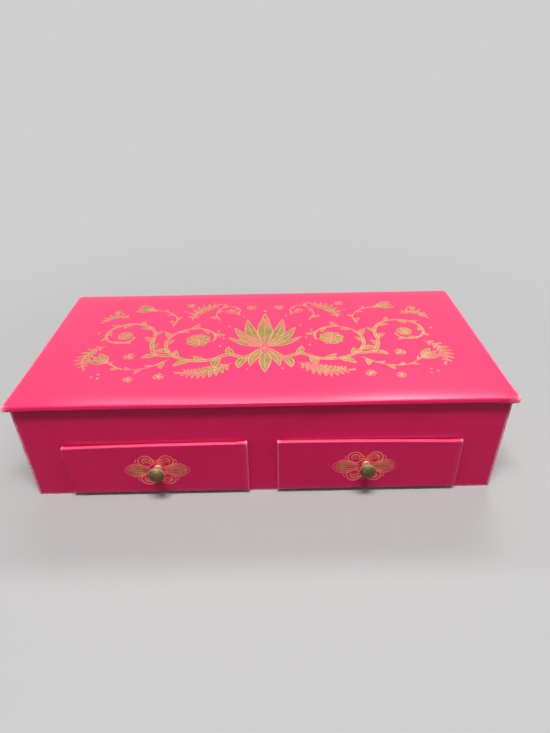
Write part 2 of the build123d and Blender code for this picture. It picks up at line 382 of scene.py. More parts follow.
@dataclass(frozen=True)
class Foil(Finish):
    """Metal foil stamped on the cloth, rubbed through in places.

    Attributes:
        bright: where the foil is fresh.
        dull: where it has dulled.
        under: the cloth that shows where it is rubbed away.
        loss: share that is rubbed, from 0 to 1.
        metal: how metallic the fresh foil is.
        gloss: its roughness.
    """

    bright: Colour = (0.82, 0.40, 0.22)
    dull: Colour = (0.74, 0.31, 0.18)
    under: Colour = (0.82, 0.12, 0.17)
    loss: float = 0.4
    metal: float = 0.8
    gloss: float = 0.36

    def surface(self, shade: Shade) -> Flow:
        """Foil that turns from bright to dull in patches, over fine and broad wear.

        Args:
            shade: the material's node tree.

        Returns:
            The shader.
        """
        place = shade.place()
        broad = shade.clouds(place, 0.018, 2.0)
        fine = shade.clouds(place, 0.0012, 3.0, 0.5)
        tarnish = shade.clouds(place, 0.006, 3.0).rise(0.35, 0.70)
        edge = 0.95 - self.loss * 0.6
        lost = (fine * 0.5 + broad * 0.7).rise(edge - 0.16, edge)
        foil = shade.mix(self.bright, self.dull, tarnish)
        return shade.principled(
            Base_Color=shade.mix(foil, self.under, lost * 0.85),
            Metallic=self.metal - lost * (self.metal * 0.7),
            Roughness=self.gloss + tarnish * 0.10 + lost * 0.12,
            Normal=shade.bump(fine, 0.00004, 0.4),
        )


@dataclass(frozen=True)
class Paper(Finish):
    """Paper or board with short fibres and flecks.

    Attributes:
        colour: the sheet.
        fleck: its darker fibres.
        flecks: how much they show.
        fibre: length of a fibre in metres.
    """

    colour: Colour = (0.64, 0.59, 0.49)
    fleck: Colour = (0.46, 0.40, 0.30)
    flecks: float = 0.25
    fibre: float = 0.0015

    def surface(self, shade: Shade) -> Flow:
        """Soft clouds and fibres, matt.

        Args:
            shade: the material's node tree.

        Returns:
            The shader.
        """
        place = shade.place()
        age = shade.clouds(place, 0.05, 3.0)
        fibres = shade.clouds(shade.stretched(place, (1, 3, 3)), self.fibre, 4.0, 1.0)
        tint = fibres.rise(0.5, 0.75) * self.flecks + age.rise(0.5, 0.9) * 0.12
        return shade.principled(
            Base_Color=shade.mix(self.colour, self.fleck, tint),
            Roughness=0.72 + fibres * 0.2,
            Specular_IOR_Level=0.3,
            Normal=shade.bump(fibres, 0.00006, 0.35),
        )


@dataclass(frozen=True)
class Satin(Finish):
    """Ribbed ribbon, which reads how far along and across it a point is.

    Attributes:
        colour: the ribs.
        shadow: the furrows and edges.
        rib: width of a rib in metres.
    """

    colour: Colour = (0.78, 0.04, 0.15)
    shadow: Colour = (0.40, 0.01, 0.06)
    rib: float = 0.0006

    def surface(self, shade: Shade) -> Flow:
        """Ribs across the ribbon between two denser edges.

        Args:
            shade: the material's node tree.

        Returns:
            The shader.
        """
        along = shade.mark("along")
        ribs = shade.maths("SINE", along * (2 * math.pi / self.rib), 0.0) * 0.5 + 0.5
        edge = shade.maths("ABSOLUTE", shade.mark("across"), 0.0).rise(0.82, 0.92)
        weave = shade.clouds(shade.place(), 0.0003, 2.0)
        shown = ribs * 0.8 + weave * 0.2
        return shade.principled(
            Base_Color=shade.mix(self.shadow, self.colour, shown + edge * 0.2),
            Roughness=0.55 - ribs * 0.15,
            Sheen_Weight=0.2,
            Normal=shade.bump(shown, 0.0001, 0.5),
        )


@dataclass(frozen=True)
class Metal(Finish):
    """Turned metal that has dulled with handling.

    Attributes:
        bright: where hands have kept it clean.
        dull: where it has darkened with patina and painted shade.
        gloss: roughness of the clean metal.
        patina: how far the darkening goes.
    """

    bright: Colour = (0.60, 0.44, 0.28)
    dull: Colour = (0.135, 0.098, 0.034)
    gloss: float = 0.50
    patina: float = 1.0

    def surface(self, shade: Shade) -> Flow:
        """Patchy patina and painted shade, with fine pits.

        Args:
            shade: the material's node tree.

        Returns:
            The shader.
        """
        place = shade.place()
        cloud = shade.clouds(place, 0.0028, 4.0, 0.4)
        pits = shade.clouds(place, 0.0005, 3.0)
        dark = (shade.mark("patina") + cloud * 0.7 - 0.35).rise(0.1, 0.9) * self.patina
        return shade.principled(
            Base_Color=shade.mix(self.bright, self.dull, dark),
            Metallic=0.72 + dark * 0.2 - pits * 0.1,
            Roughness=self.gloss + dark * 0.10 + pits * 0.08,
            Normal=shade.bump(pits + cloud * 0.6, 0.00006, 0.5),
        )


@dataclass(frozen=True)
class Wool(Finish):
    """Loose wadding.

    Attributes:
        colour: the fibres.
        shadow: how dark the gaps between them are, as a share of that.
    """

    colour: Colour = (0.74, 0.72, 0.68)
    shadow: float = 0.75

    def surface(self, shade: Shade) -> Flow:
        """Tangled fibres.

        Args:
            shade: the material's node tree.

        Returns:
            The shader.
        """
        place = shade.place()
        tangle = shade.clouds(place, 0.0012, 6.0, 2.0)
        grey = tuple(self.shadow * part for part in self.colour)
        return shade.principled(
            Base_Color=shade.mix(self.colour, grey, tangle),
            Roughness=0.95,
            Normal=shade.bump(tangle, 0.0003, 0.8),
        )


@dataclass(frozen=True)
class Ground(Finish):
    """Pale floor that fades into the background away from the chest.

    Attributes:
        seen: the floor as the camera sees it.
        dim: the floor as it lights the chest, no brighter than a table top.
        near: distance from the middle in metres at which the fading starts.
        far: distance at which only the background is left.
        glow: strength of the background.
        spill: strength of its light on the chest.
    """

    seen: Colour = (0.46, 0.46, 0.46)
    dim: Colour = (0.14, 0.14, 0.14)
    near: float = 0.14
    far: float = 0.55
    glow: float = 0.62
    spill: float = 0.13

    def surface(self, shade: Shade) -> Flow:
        """Diffuse near the chest and glowing far from it.

        Args:
            shade: the material's node tree.

        Returns:
            The shader.
        """
        place = shade.place()
        distance = shade.node("ShaderNodeVectorMath", {"operation": "LENGTH"}, {0: place}, "Value")
        mottle = shade.clouds(place, 0.02, 4.0) * 0.04
        seen = shade.shown_directly()
        colour = shade.mix(self.dim, self.seen, seen)
        matt = shade.principled(
            Base_Color=shade.mix(colour, self.dim, mottle), Roughness=0.7, Specular_IOR_Level=0.2
        )
        level = seen * (self.glow - self.spill) + self.spill
        glow = shade.node("ShaderNodeEmission", {}, {"Color": (1, 1, 1), "Strength": level})
        values = {0: distance.rise(self.near, self.far), 1: matt, 2: glow}
        return shade.node("ShaderNodeMixShader", {}, values)


@dataclass(frozen=True)
class Palette:
    """Every finish of the chest."""

    cloth: Leatherette = Leatherette("pink_leatherette")
    foil_line: Foil = Foil("foil_lines", loss=0.42)
    foil_fill: Foil = Foil(
        "foil_fills", bright=(0.38, 0.28, 0.075), dull=(0.26, 0.21, 0.060), loss=0.28, gloss=0.44
    )
    drawer_line: Foil = Foil(
        "drawer_foil_lines", bright=(0.96, 0.33, 0.21), dull=(0.90, 0.20, 0.17), loss=0.25
    )
    drawer_fill: Foil = Foil(
        "drawer_foil_fills", bright=(0.56, 0.14, 0.065), dull=(0.45, 0.085, 0.05), loss=0.2
    )
    lining: Paper = Paper("ivory_lining_paper")
    board: Paper = Paper("greyboard", (0.40, 0.38, 0.34), (0.20, 0.19, 0.17), 0.5, 0.0012)
    base: Paper = Paper("base_paper", (0.30, 0.05, 0.09), (0.17, 0.02, 0.05), 0.4)
    ribbon: Satin = Satin("pink_ribbon")
    brass: Metal = Metal("dulled_brass")
    steel: Metal = Metal("screw_steel", (0.55, 0.55, 0.54), (0.22, 0.21, 0.20), 0.28, 0.5)
    wool: Wool = Wool("wadding")
    ground: Ground = Ground("pale_floor")


PALETTE = Palette()


# Meshes


def placed(name: str, data: bpy.types.ID) -> bpy.types.Object:
    """Puts a new object into the scene.

    Args:
        name: the object's name.
        data: its mesh, lamp or camera.

    Returns:
        The object, at the origin.
    """
    made = bpy.data.objects.new(name, data)
    bpy.context.scene.collection.objects.link(made)
    return made


def facing(way: Vector, least: float = 0.9) -> Test:
    """A test for faces that look a given way, by how much of their normal points there."""
    return lambda place, normal: normal.dot(way) > least


def anywhere(start: Vector, end: Vector) -> bool:
    """A test that every edge passes."""
    return True


class Form:
    """A mesh in millimetres, shaped by bmesh operators, that ends as a piece in metres."""

    def __init__(self, name: str) -> None:
        """Starts an empty mesh for the piece of that name."""
        self.name = name
        self.bm = bmesh.new()

    def block(self, low: Vector, high: Vector) -> Verts:
        """Adds a box.

        Args:
            low: its lowest corner.
            high: its highest corner.

        Returns:
            Its points.
        """
        made = bmesh.ops.create_cube(self.bm, size=1.0)["verts"]
        bmesh.ops.scale(self.bm, vec=high - low, verts=made)
        bmesh.ops.translate(self.bm, vec=(low + high) / 2, verts=made)
        self.bm.normal_update()
        return made

    def faces(self, test: Test) -> Faces:
        """The faces whose middle and normal pass a test."""
        self.bm.normal_update()
        return [f for f in self.bm.faces if test(f.calc_center_median(), f.normal)]

    def ridges(self, test: Test, turn: float = 1.0) -> Edges:
        """Finds sharp edges.

        Args:
            test: what their two ends have to pass.
            turn: the angle in radians that the mesh turns by at such an edge, at least.

        Returns:
            The edges.
        """
        self.bm.normal_update()
        found = []
        for edge in self.bm.edges:
            sharp = edge.is_manifold and edge.calc_face_angle() > turn
            if sharp and test(edge.verts[0].co, edge.verts[1].co):
                found.append(edge)
        return found

    def round(self, edges: Edges, radius: float, segments: int) -> None:
        """Rounds edges.

        Args:
            edges: the edges.
            radius: radius of the rounding.
            segments: how many faces it is wide.
        """
        bmesh.ops.bevel(
            self.bm,
            geom=edges,
            offset=radius,
            offset_type="OFFSET",
            segments=segments,
            profile=0.5,
            affect="EDGES",
            material=-1,
            clamp_overlap=True,
        )

    def cut(self, normal: Vector, places: Iterable[float], faces: Faces | None = None) -> None:
        """Cuts the mesh, or some faces, along parallel planes.

        Args:
            normal: the planes' normal.
            places: how far along it each plane is from the origin.
            faces: the faces to cut, or None for the whole mesh.
        """
        for place in places:
            geom = self.bm.verts[:] + self.bm.edges[:] + self.bm.faces[:]
            if faces is not None:
                edges = {e for f in faces for e in f.edges}
                verts = {v for f in faces for v in f.verts}
                geom = list(verts) + list(edges) + faces
            made = bmesh.ops.bisect_plane(
                self.bm, geom=geom, dist=1e-4, plane_co=normal * place, plane_no=normal
            )["geom"]
            if faces is not None:
                faces = [g for g in made if isinstance(g, bmesh.types.BMFace)]

    def sink(self, faces: Faces, shift: Vector, open_end: bool = False) -> Faces:
        """Pushes a region of faces along a vector and walls it in.

        Args:
            faces: the region.
            shift: how far it goes.
            open_end: whether the region itself is then taken away.

        Returns:
            The region's faces at their new place, or none.
        """
        made = bmesh.ops.extrude_face_region(self.bm, geom=faces)["geom"]
        verts = [g for g in made if isinstance(g, bmesh.types.BMVert)]
        moved = [g for g in made if isinstance(g, bmesh.types.BMFace)]
        bmesh.ops.translate(self.bm, vec=shift, verts=verts)
        bmesh.ops.delete(self.bm, geom=[f for f in faces if f.is_valid], context="FACES_ONLY")
        if open_end:
            bmesh.ops.delete(self.bm, geom=moved, context="FACES")
            moved = []
        return moved

    def move(self, shift: Callable[[Vector], Vector]) -> None:
        """Moves each point.

        Args:
            shift: gives how far a point at a place goes.
        """
        moves = [(vert, shift(vert.co)) for vert in self.bm.verts]
        for vert, vector in moves:
            vert.co += vector

    def paint(self, name: str, value: Callable[[Vector], float]) -> None:
        """Gives each point a number that materials can read.

        Args:
            name: the number's name.
            value: gives the number at a place.
        """
        layer = self.bm.verts.layers.float.get(name) or self.bm.verts.layers.float.new(name)
        for vert in self.bm.verts:
            vert[layer] = value(vert.co)

    def clean(self) -> None:
        """Merges doubled points and turns the faces outwards."""
        bmesh.ops.remove_doubles(self.bm, verts=self.bm.verts, dist=1e-4)
        bmesh.ops.recalc_face_normals(self.bm, faces=self.bm.faces)

    def piece(
        self, finish: Finish, slot: Slot, skin: float = 0.0, smooth: bool = True
    ) -> bpy.types.Object:
        """Ends the form as an object in metres.

        Args:
            finish: its finish.
            slot: the slot that the finish stands for; not used.
            skin: thickness in millimetres that an open shell gets inwards.
            smooth: whether its faces are shaded as one surface.

        Returns:
            The object, at the origin.
        """
        bmesh.ops.scale(self.bm, vec=(MILLIMETRE,) * 3, verts=self.bm.verts)
        for face in self.bm.faces:
            face.smooth = smooth
        mesh = bpy.data.meshes.new(self.name)
        self.bm.to_mesh(mesh)
        self.bm.free()
        mesh.materials.append(finish.material)
        if smooth:
            mesh.set_sharp_from_angle(angle=math.radians(42))
        made = placed(self.name, mesh)
        if skin:
            shell = made.modifiers.new("skin", "SOLIDIFY")
            shell.thickness = skin * MILLIMETRE
            shell.offset = -1.0
            shell.use_even_offset = True
        if smooth:
            made.modifiers.new("weighted", "WEIGHTED_NORMAL").keep_sharp = True
        log.info("%s: %d faces", self.name, len(mesh.polygons))
        return made


def lines_near(low: float, high: float, gaps: Iterable[float]) -> list[float]:
    """Places at the same gaps inwards from two ends."""
    return [low + gap for gap in gaps] + [high - gap for gap in gaps]


def lines_across(low: float, high: float, pitch: float) -> list[float]:
    """Evenly spaced places between two ends."""
    count = max(1, round((high - low) / pitch))
    return [low + (high - low) * step / count for step in range(1, count)]


def dress(finish: Finish, *nodes: str) -> None:
    """Gives CAD nodes that stay in view a finish.

    Args:
        finish: the finish.
        nodes: the nodes' names.
    """
    for name in nodes:
        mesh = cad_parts[name].data
        mesh.materials.clear()
        mesh.materials.append(finish.material)
        log.info("%s keeps its CAD mesh in %s", name, finish.name)


# Foil


class Line:
    """A smooth line through points on a plane, asked by the share of its length."""

    def __init__(self, points: Sequence[Point], steps: int = 14) -> None:
        """Rounds the line between the points that it is given.

        Args:
            points: the places that it goes through.
            steps: how many straight pieces stand for each span.
        """
        knots = [Vector(point) for point in points]
        ends = [knots[0], *knots, knots[-1]]
        self.points = [knots[0]]
        for before, start, end, after in zip(ends, ends[1:], ends[2:], ends[3:]):
            lead, trail = start + (end - before) / 6, end - (after - start) / 6
            span = geometry.interpolate_bezier(start, lead, trail, end, steps)
            self.points += [Vector(point[:2]) for point in span[1:]]
        self.marks = [0.0]
        for start, end in zip(self.points, self.points[1:]):
            self.marks.append(self.marks[-1] + (end - start).length)
        self.length = self.marks[-1]

    def at(self, share: float) -> Vector:
        """Finds the point at a share of the length.

        Args:
            share: the share, from 0 to 1.

        Returns:
            The point.
        """
        reach = min(max(share, 0.0), 1.0) * self.length
        for index in range(1, len(self.marks)):
            if self.marks[index] >= reach:
                break
        span = self.marks[index] - self.marks[index - 1]
        part = (reach - self.marks[index - 1]) / span if span else 0.0
        return self.points[index - 1].lerp(self.points[index], part)

    def heading(self, share: float) -> Vector:
        """Unit vector along the line."""
        way = self.at(share + 0.01) - self.at(share - 0.01)
        return way.normalized() if way.length else Vector((1, 0))

    def side(self, share: float) -> Vector:
        """Unit vector to the left of the line."""
        way = self.heading(share)
        return Vector((-way.y, way.x))


def curl(centre: Point, radii: Point, angles: Point, points: int = 12) -> list[Point]:
    """Points of a spiral.

    Args:
        centre: its middle.
        radii: the radius at its start and end.
        angles: the angle at its start and end, in degrees.
        points: how many points it gets.

    Returns:
        The points in order.
    """
    found = []
    for step in range(points):
        share = step / (points - 1)
        radius = radii[0] + (radii[1] - radii[0]) * share
        angle = math.radians(angles[0] + (angles[1] - angles[0]) * share)
        found.append((centre[0] + radius * math.cos(angle), centre[1] + radius * math.sin(angle)))
    return found


@dataclass
class Stamping:
    """Foil shapes on a flat place: dull fills under bright lines.

    Attributes:
        name: the start of the pieces' names.
        centre: the middle of the drawing, on the surface, in millimetres.
        across: the drawing's first axis.
        up: its second axis.
        pen: width of a line.
        flip: 1, or -1 while the mirrored half is drawn.
        fill_lift: height of the lowest fill above the surface.
        line_lift: height of the lowest line.
        level: what each further shape gets on top, so that no two that cross are flush.
        levels: how many such heights there are.
        depth: thickness of the foil, most of it under the surface.
        drawn: how many shapes are drawn so far.
        fills: the mesh of the fills.
        lines: the mesh of the lines.
    """

    name: str
    centre: Vector
    across: Vector
    up: Vector
    pen: float = 0.7
    flip: int = 1
    fill_lift: float = 0.025
    line_lift: float = 0.060
    level: float = 0.0006
    levels: int = 59
    depth: float = 0.10
    drawn: int = 0
    fills: Form = field(init=False)
    lines: Form = field(init=False)

    def __post_init__(self) -> None:
        """Starts the two forms."""
        self.fills = Form(f"{self.name}_foil_fills")
        self.lines = Form(f"{self.name}_foil_lines")

    def strip(
        self, sides: Callable[[float], tuple[Vector, Vector]], steps: int, fill: bool
    ) -> None:
        """Lays a grid one face wide between two lines.

        Args:
            sides: gives the left and right point at a share of the length.
            steps: how many faces long it is.
            fill: whether it belongs to the fills or to the lines.
        """
        form = self.fills if fill else self.lines
        self.drawn += 1
        lift = self.fill_lift if fill else self.line_lift
        lift += self.drawn % self.levels * self.level
        outwards = self.across.cross(self.up)
        grid = bmesh.ops.create_grid(form.bm, x_segments=steps, y_segments=1, size=0.5)["verts"]
        for vert in grid:
            left, right = sides(vert.co.x + 0.5)
            flat = right if vert.co.y < 0 else left
            place = self.across * (flat.x * self.flip) + self.up * flat.y
            vert.co = self.centre + place + outwards * lift

    def stroke(self, line: Line, width: float, steps: int = 0, taper: float = 0.12) -> None:
        """Draws a line that thins out at both ends.

        Args:
            line: the line.
            width: its width.
            steps: how many faces long it is, or 0 for as many as its length asks for.
            taper: share of its length over which an end thins out.
        """
        steps = steps or max(6, round(line.length / 1.6))

        def sides(share: float) -> tuple[Vector, Vector]:
            """Finds both edges of the pen's stroke.

            Args:
                share: how far along the line.

            Returns:
                The left and right point.
            """
            end = min(share, 1 - share) / taper if taper else 1.0
            half = line.side(share) * (width / 2 * max(0.12, min(1.0, end) ** 0.6))
            middle = line.at(share)
            return middle + half, middle - half

        self.strip(sides, steps, False)

    def shape(
        self, spine: Line, half: Callable[[float], float], steps: int, pen: float, filled: bool
    ) -> None:
        """Draws an outline along both sides of a line.

        Args:
            spine: the line.
            half: gives half the breadth at a share of its length.
            steps: how many faces long it is.
            pen: width of the outline.
            filled: whether the space between is filled.
        """

        def between(near: float, far: float, hand: int, share: float) -> tuple[Vector, Vector]:
            """Finds two points on one side of the line, or one on each.

            Args:
                near: how far the one is from the line.
                far: how far the other is from it.
                hand: 1 on the left, -1 on the right.
                share: how far along the line.

            Returns:
                The points, left one first.
            """
            place, way = spine.at(share), spine.side(share)
            found = place + way * far, place + way * near * hand
            return found if hand > 0 else found[::-1]

        if filled:
            self.strip(lambda share: between(-half(share), half(share), 1, share), steps, True)
        for hand in (1, -1):
            self.strip(
                lambda share, hand=hand: between(
                    half(share) - pen / 2, hand * (half(share) + pen / 2), hand, share
                ),
                steps,
                False,
            )

    def leaf(
        self,
        base: Point,
        tip: Point,
        breadth: float,
        bend: float = 0.0,
        fullness: float = 0.85,
        rib: bool = True,
        filled: bool = True,
    ) -> None:
        """Draws a pointed leaf with an outline and a rib.

        Args:
            base: where it starts.
            tip: where it ends.
            breadth: its greatest breadth.
            bend: how far its middle stands to the left of the straight line.
            fullness: below 1 it is widest near its base, above 1 near its tip.
            rib: whether it has a middle rib.
            filled: whether it is filled.
        """
        start, end = Vector(base), Vector(tip)
        way = end - start
        middle = (start + end) / 2 + Vector((-way.y, way.x)).normalized() * bend
        spine = Line([start[:], middle[:], end[:]], 6)
        steps = max(6, round(way.length / 1.8))
        pen = self.pen * min(1.0, 0.45 + breadth / 12)

        def half(share: float) -> float:
            """Half the leaf's breadth."""
            return breadth / 2 * max(0.0, math.sin(math.pi * share**fullness)) + 0.03

        self.shape(spine, half, steps, pen, filled)
        if rib:
            points = [spine.at(share)[:] for share in (0.08, 0.35, 0.6, 0.82)]
            self.stroke(Line(points, 4), pen * 0.75, max(4, steps // 2))

    def band(self, line: Line, start: float, end: float) -> None:
        """Draws a filled stem that narrows.

        Args:
            line: where it goes.
            start: its width at its start.
            end: its width at its end.
        """
        steps = max(8, round(line.length / 2))
        self.shape(line, lambda share: (start + (end - start) * share) / 2, steps, self.pen, True)

    def disc(self, centre: Point, radius: float, fill: bool = False) -> None:
        """Draws a round dot.

        Args:
            centre: its middle.
            radius: its radius.
            fill: whether it belongs to the fills.
        """
        middle = Vector(centre)

        def sides(share: float) -> tuple[Vector, Vector]:
            """Finds the round outline.

            Args:
                share: how far across the dot.

            Returns:
                The upper and lower point.
            """
            turn = math.pi * share
            place = middle - Vector((math.cos(turn) * radius, 0))
            half = Vector((0, math.sin(turn) * radius + 0.01))
            return place + half, place - half

        self.strip(sides, 8, fill)

    def ring(self, centre: Point, radius: float, width: float) -> None:
        """Draws a closed round line."""
        points = curl(centre, (radius, radius), (0, 360), 13)
        self.stroke(Line(points, 3), width, max(14, round(radius * 3)), 0.0)

    def rosette(self, centre: Point, radius: float, petals: int, turn: float = 0.0) -> None:
        """Draws a flower round a dotted eye.

        Args:
            centre: its middle.
            radius: its radius; every petal of a large one is filled and has a rib.
            petals: how many petals it has.
            turn: direction of the first petal in degrees.
        """
        middle = Vector(centre)
        large = radius > 6
        eye = radius * 0.26
        breadth = 2 * radius * math.sin(math.pi / petals) * (0.86 if large else 0.70)
        for petal in range(petals):
            angle = math.radians(turn) + 2 * math.pi * petal / petals
            way = Vector((math.cos(angle), math.sin(angle)))
            base, tip = middle + way * eye, middle + way * radius
            filled = large or petal % 2 == 0
            self.leaf(base[:], tip[:], breadth, 0.0, 1.25, large, filled)
        self.disc(centre, eye * 0.62)
        self.ring(centre, eye, self.pen * 0.6)

    def bell(self, base: Point, tip: Point, breadth: float) -> None:
        """Draws a bell flower: a calyx, three petals and a pistil.

        Args:
            base: where its stem ends.
            tip: where its middle petal ends.
            breadth: how far apart its petals' ends are.
        """
        start, end = Vector(base), Vector(tip)
        way = end - start
        aside = Vector((-way.y, way.x)).normalized() * breadth
        for share in (-0.62, 0.0, 0.62):
            self.leaf(base, (end + aside * share)[:], breadth * 0.55, share * 1.5, 1.15)
        self.leaf(base, (start + way * 0.35 + aside * 0.3)[:], breadth * 0.2, 0, 0.8, False)
        self.leaf(base, (start + way * 0.35 - aside * 0.3)[:], breadth * 0.2, 0, 0.8, False)
        self.disc((end + way * 0.16)[:], self.pen * 0.8)

    def vine(self, points: Sequence[Point], width: float, leaves: int, length: float) -> None:
        """Draws a stem with leaves on alternate sides.

        Args:
            points: where the stem goes.
            width: its width at its foot; a wide one is filled.
            leaves: how many leaves it has.
            length: length of its first leaves, from which they get shorter.
        """
        stem = Line(points, 10)
        if width > 1.8:
            self.band(stem, width, 0.9)
        else:
            self.stroke(stem, width, 0, 0.05)
        for index in range(leaves):
            share = 0.09 + 0.83 * index / max(1, leaves - 1)
            hand = 1 if index % 2 else -1
            reach = length * (1 - 0.45 * share) * (1.0 if hand < 0 else 0.82)
            self.aside(stem, share, 43 * hand, reach, 0.4, True)

    def aside(
        self, stem: Line, share: float, angle: float, length: float, plump: float, rib: bool
    ) -> None:
        """Draws a leaf that leaves a stem.

        Args:
            stem: the stem.
            share: where on it the leaf starts.
            angle: the angle between them in degrees, positive to the left.
            length: the leaf's length.
            plump: its breadth as a share of its length.
            rib: whether it has a middle rib.
        """
        base, way = stem.at(share), stem.heading(share)
        way.rotate(Matrix.Rotation(math.radians(angle), 2))
        bend = -math.copysign(length * 0.12, angle)
        self.leaf(base[:], (base + way * length)[:], length * plump, bend, rib=rib)

    def spray(self, points: Sequence[Point], pairs: int, length: float) -> None:
        """Draws a feathered leaf.

        Args:
            points: where its stem goes.
            pairs: how many pairs of narrow leaflets it has.
            length: length of the longest.
        """
        stem = Line(points, 8)
        self.stroke(stem, self.pen, 0, 0.05)
        for index in range(pairs):
            share = 0.10 + 0.84 * index / pairs
            reach = length * (0.40 + 0.60 * math.sin(math.pi * share**0.75))
            for angle in (50, -50):
                self.aside(stem, share, angle, reach, 0.27, False)
        self.aside(stem, 0.93, 1, length * 0.7, 0.3, False)

    def finish(self, line: Finish, fill: Finish, body: str) -> None:
        """Ends both forms as pieces.

        Args:
            line: finish of the lines.
            fill: finish of the fills.
            body: the body that they ride on.
        """
        outwards = self.across.cross(self.up)
        for form, finish in ((self.fills, fill), (self.lines, line)):
            back = form.faces(facing(-outwards, 0.0))
            bmesh.ops.reverse_faces(form.bm, faces=back)
            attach(form.piece(finish, Slot.BRASS, self.depth, False), body)


# The chest


@dataclass
class Lid:
    """The padded lid, with its covering, wadding, board, lining and stamped ornament.

    Attributes:
        corner_radius: rounding of its corners.
        edge_radius: rounding of its top edge.
        lip_radius: rounding of its bottom edge.
        lean: how far its front face leans back, per unit of height.
        lean_start: height above its underside from which it does.
        spread: how far its ends stand out beyond the CAD, left and right.
        flare: how far the front corners spread, to the side and to the front.
        flare_reach: how far from the corners that starts, along the front and the sides.
        crown: how far the padding lifts the middle.
        slope: width of the slope from the edge up to the crown.
        turn_in: width of the covering on the underside.
        skin: thickness of the covering.
        fold: width of the folded corners, left and right.
        fold_lift: how far they stand out, left and right.
        tuck: how far the lower part of the front corners is drawn in, left and right.
        crease: length of the crease that runs up to the right front corner.
        creased: how dark the painted shade in that crease is.
        sag: how far the front's bottom edge hangs down under it.
        wave: how far the front edge stands out by waves.
        ripple: how far its bottom edge goes up and down.
        glaze: how much of a glaze its covering has.
        fading: how faded the covering is, evenly all over.
        side_wear: how worn its side edges are, with a painted highlight along them.
        back_wear: how worn its back edge is, with a painted highlight along it.
        ear_wear: how worn the right folded corner is, with a painted highlight.
        corner_wear: how worn its corners are, with a painted highlight.
        board_radii: rounding of the board's top and bottom edges.
        wadding_inset: how far inside the board's edges the wadding ends.
        ornament_centre: middle of the stamping.
    """

    corner_radius: float = 0.4
    edge_radius: float = 0.9
    lip_radius: float = 1.8
    lean: float = 0.3
    lean_start: float = 1.2
    spread: Pair = (1.15, 0.3)
    flare: Point = (0.75, 0.35)
    flare_reach: Point = (30.0, 24.0)
    crown: float = 0.6
    slope: float = 12.0
    turn_in: float = 15.0
    skin: float = 0.35
    fold: Pair = (5.0, 8.5)
    fold_lift: Pair = (0.15, 0.50)
    tuck: Pair = (1.8, 2.4)
    crease: float = 19.0
    creased: float = 0.9
    sag: float = 0.35
    wave: float = 0.12
    ripple: float = 0.25
    glaze: float = 0.62
    fading: float = 0.06
    side_wear: float = 0.58
    back_wear: float = 0.32
    ear_wear: float = 0.12
    corner_wear: float = 1.2
    board_radii: tuple[float, float] = (1.7, 1.4)
    wadding_inset: float = 1.4
    ornament_centre: Point = (1.7, 2.9)

    def __post_init__(self) -> None:
        """Reads the lid's place from the CAD."""
        self.low, self.high = corners("lid_cover")
        self.low.x -= self.spread[0]
        self.high.x += self.spread[1]
        self.edge_top = self.high.z - self.crown

    def rise(self, place: Vector) -> float:
        """Says how far the padding lifts a place above the edge.

        Args:
            place: a point of the mesh.

        Returns:
            The height.
        """
        gaps = [
            min(place[axis] - self.low[axis], self.high[axis] - place[axis]) - self.edge_radius
            for axis in (0, 1)
        ]
        return self.crown * swell(gaps[0] / self.slope) * swell(gaps[1] / self.slope)

    def tucked(self, place: Vector) -> Vector:
        """Draws the lower part of the front corners in under the fold.

        Args:
            place: a point of the mesh.

        Returns:
            How far it goes.
        """
        gap_x = min(place.x - self.low.x, self.high.x - place.x)
        near = ease(1 - gap_x / 7) * ease(1 - (place.y - self.low.y) / 9)
        near *= ease(1 - (place.z - self.low.z) / 3.4)
        return RIGHT * (-math.copysign(self.tuck[place.x > 0] * near, place.x))

    def creasing(self, place: Vector) -> float:
        """Paints shade into the crease that runs up to the right front corner.

        Args:
            place: a point of the mesh.

        Returns:
            How much painted shade it gets there.
        """
        reach = place.x - self.high.x + self.crease
        if reach < 0 or place.y - self.low.y > 1.6:
            return 0.0
        level = 0.5 + 2.3 * ease(reach / 11)
        return self.creased * max(0.0, 1 - abs(place.z - self.low.z - level) / 0.5)

    def handwork(self, place: Vector) -> Vector:
        """Gives the crown, the folded corners and the slightly wavy front edge.

        Args:
            place: a point of the mesh.

        Returns:
            How far it goes.
        """
        shift = self.tucked(place)
        above = place.z - self.low.z
        if above > 2.5:
            shift.z += self.rise(place)
        reach = ease(1 - (place.y - self.low.y) / self.flare_reach[1])
        reach *= ease(1 - (self.high.x - abs(place.x)) / self.flare_reach[0])
        shift.x += math.copysign(self.flare[0] * reach, place.x)
        shift.y -= self.flare[1] * reach
        in_front = ease((self.low.y + 1.5 - place.y) / 1.2)
        near_front = ease(1 - (place.y - self.low.y) / 6)
        shift.y += max(0.0, above - self.lean_start) * self.lean * near_front
        wave = noise.noise(Vector((place.x / 21, 0.4, 0)))
        shift.y -= in_front * self.wave * (1 + wave)
        if above < 1.2:
            ripple = noise.noise(Vector((place.x / 15, 3.1, 0)))
            shift.z += in_front * self.ripple * ripple
        side = 1 if place.x > 0 else 0
        edge = self.high.x - self.fold[side] + above * 0.7
        folded = ease((abs(place.x) - edge) / 0.5)
        below_crease = ease((self.edge_top - 0.75 - place.z) / 0.25)
        shift.y -= in_front * folded * below_crease * self.fold_lift[side]
        crease = 1 - min(1.0, abs(place.z - self.edge_top + 0.8) / 0.25)
        shift.y += in_front * folded * max(0.0, crease) * 0.25
        if side:
            sag = ease((place.x - self.high.x + self.crease) / 6) * fall(above, 0.2, 1.4)
            shift.z -= in_front * sag * self.sag
        return shift

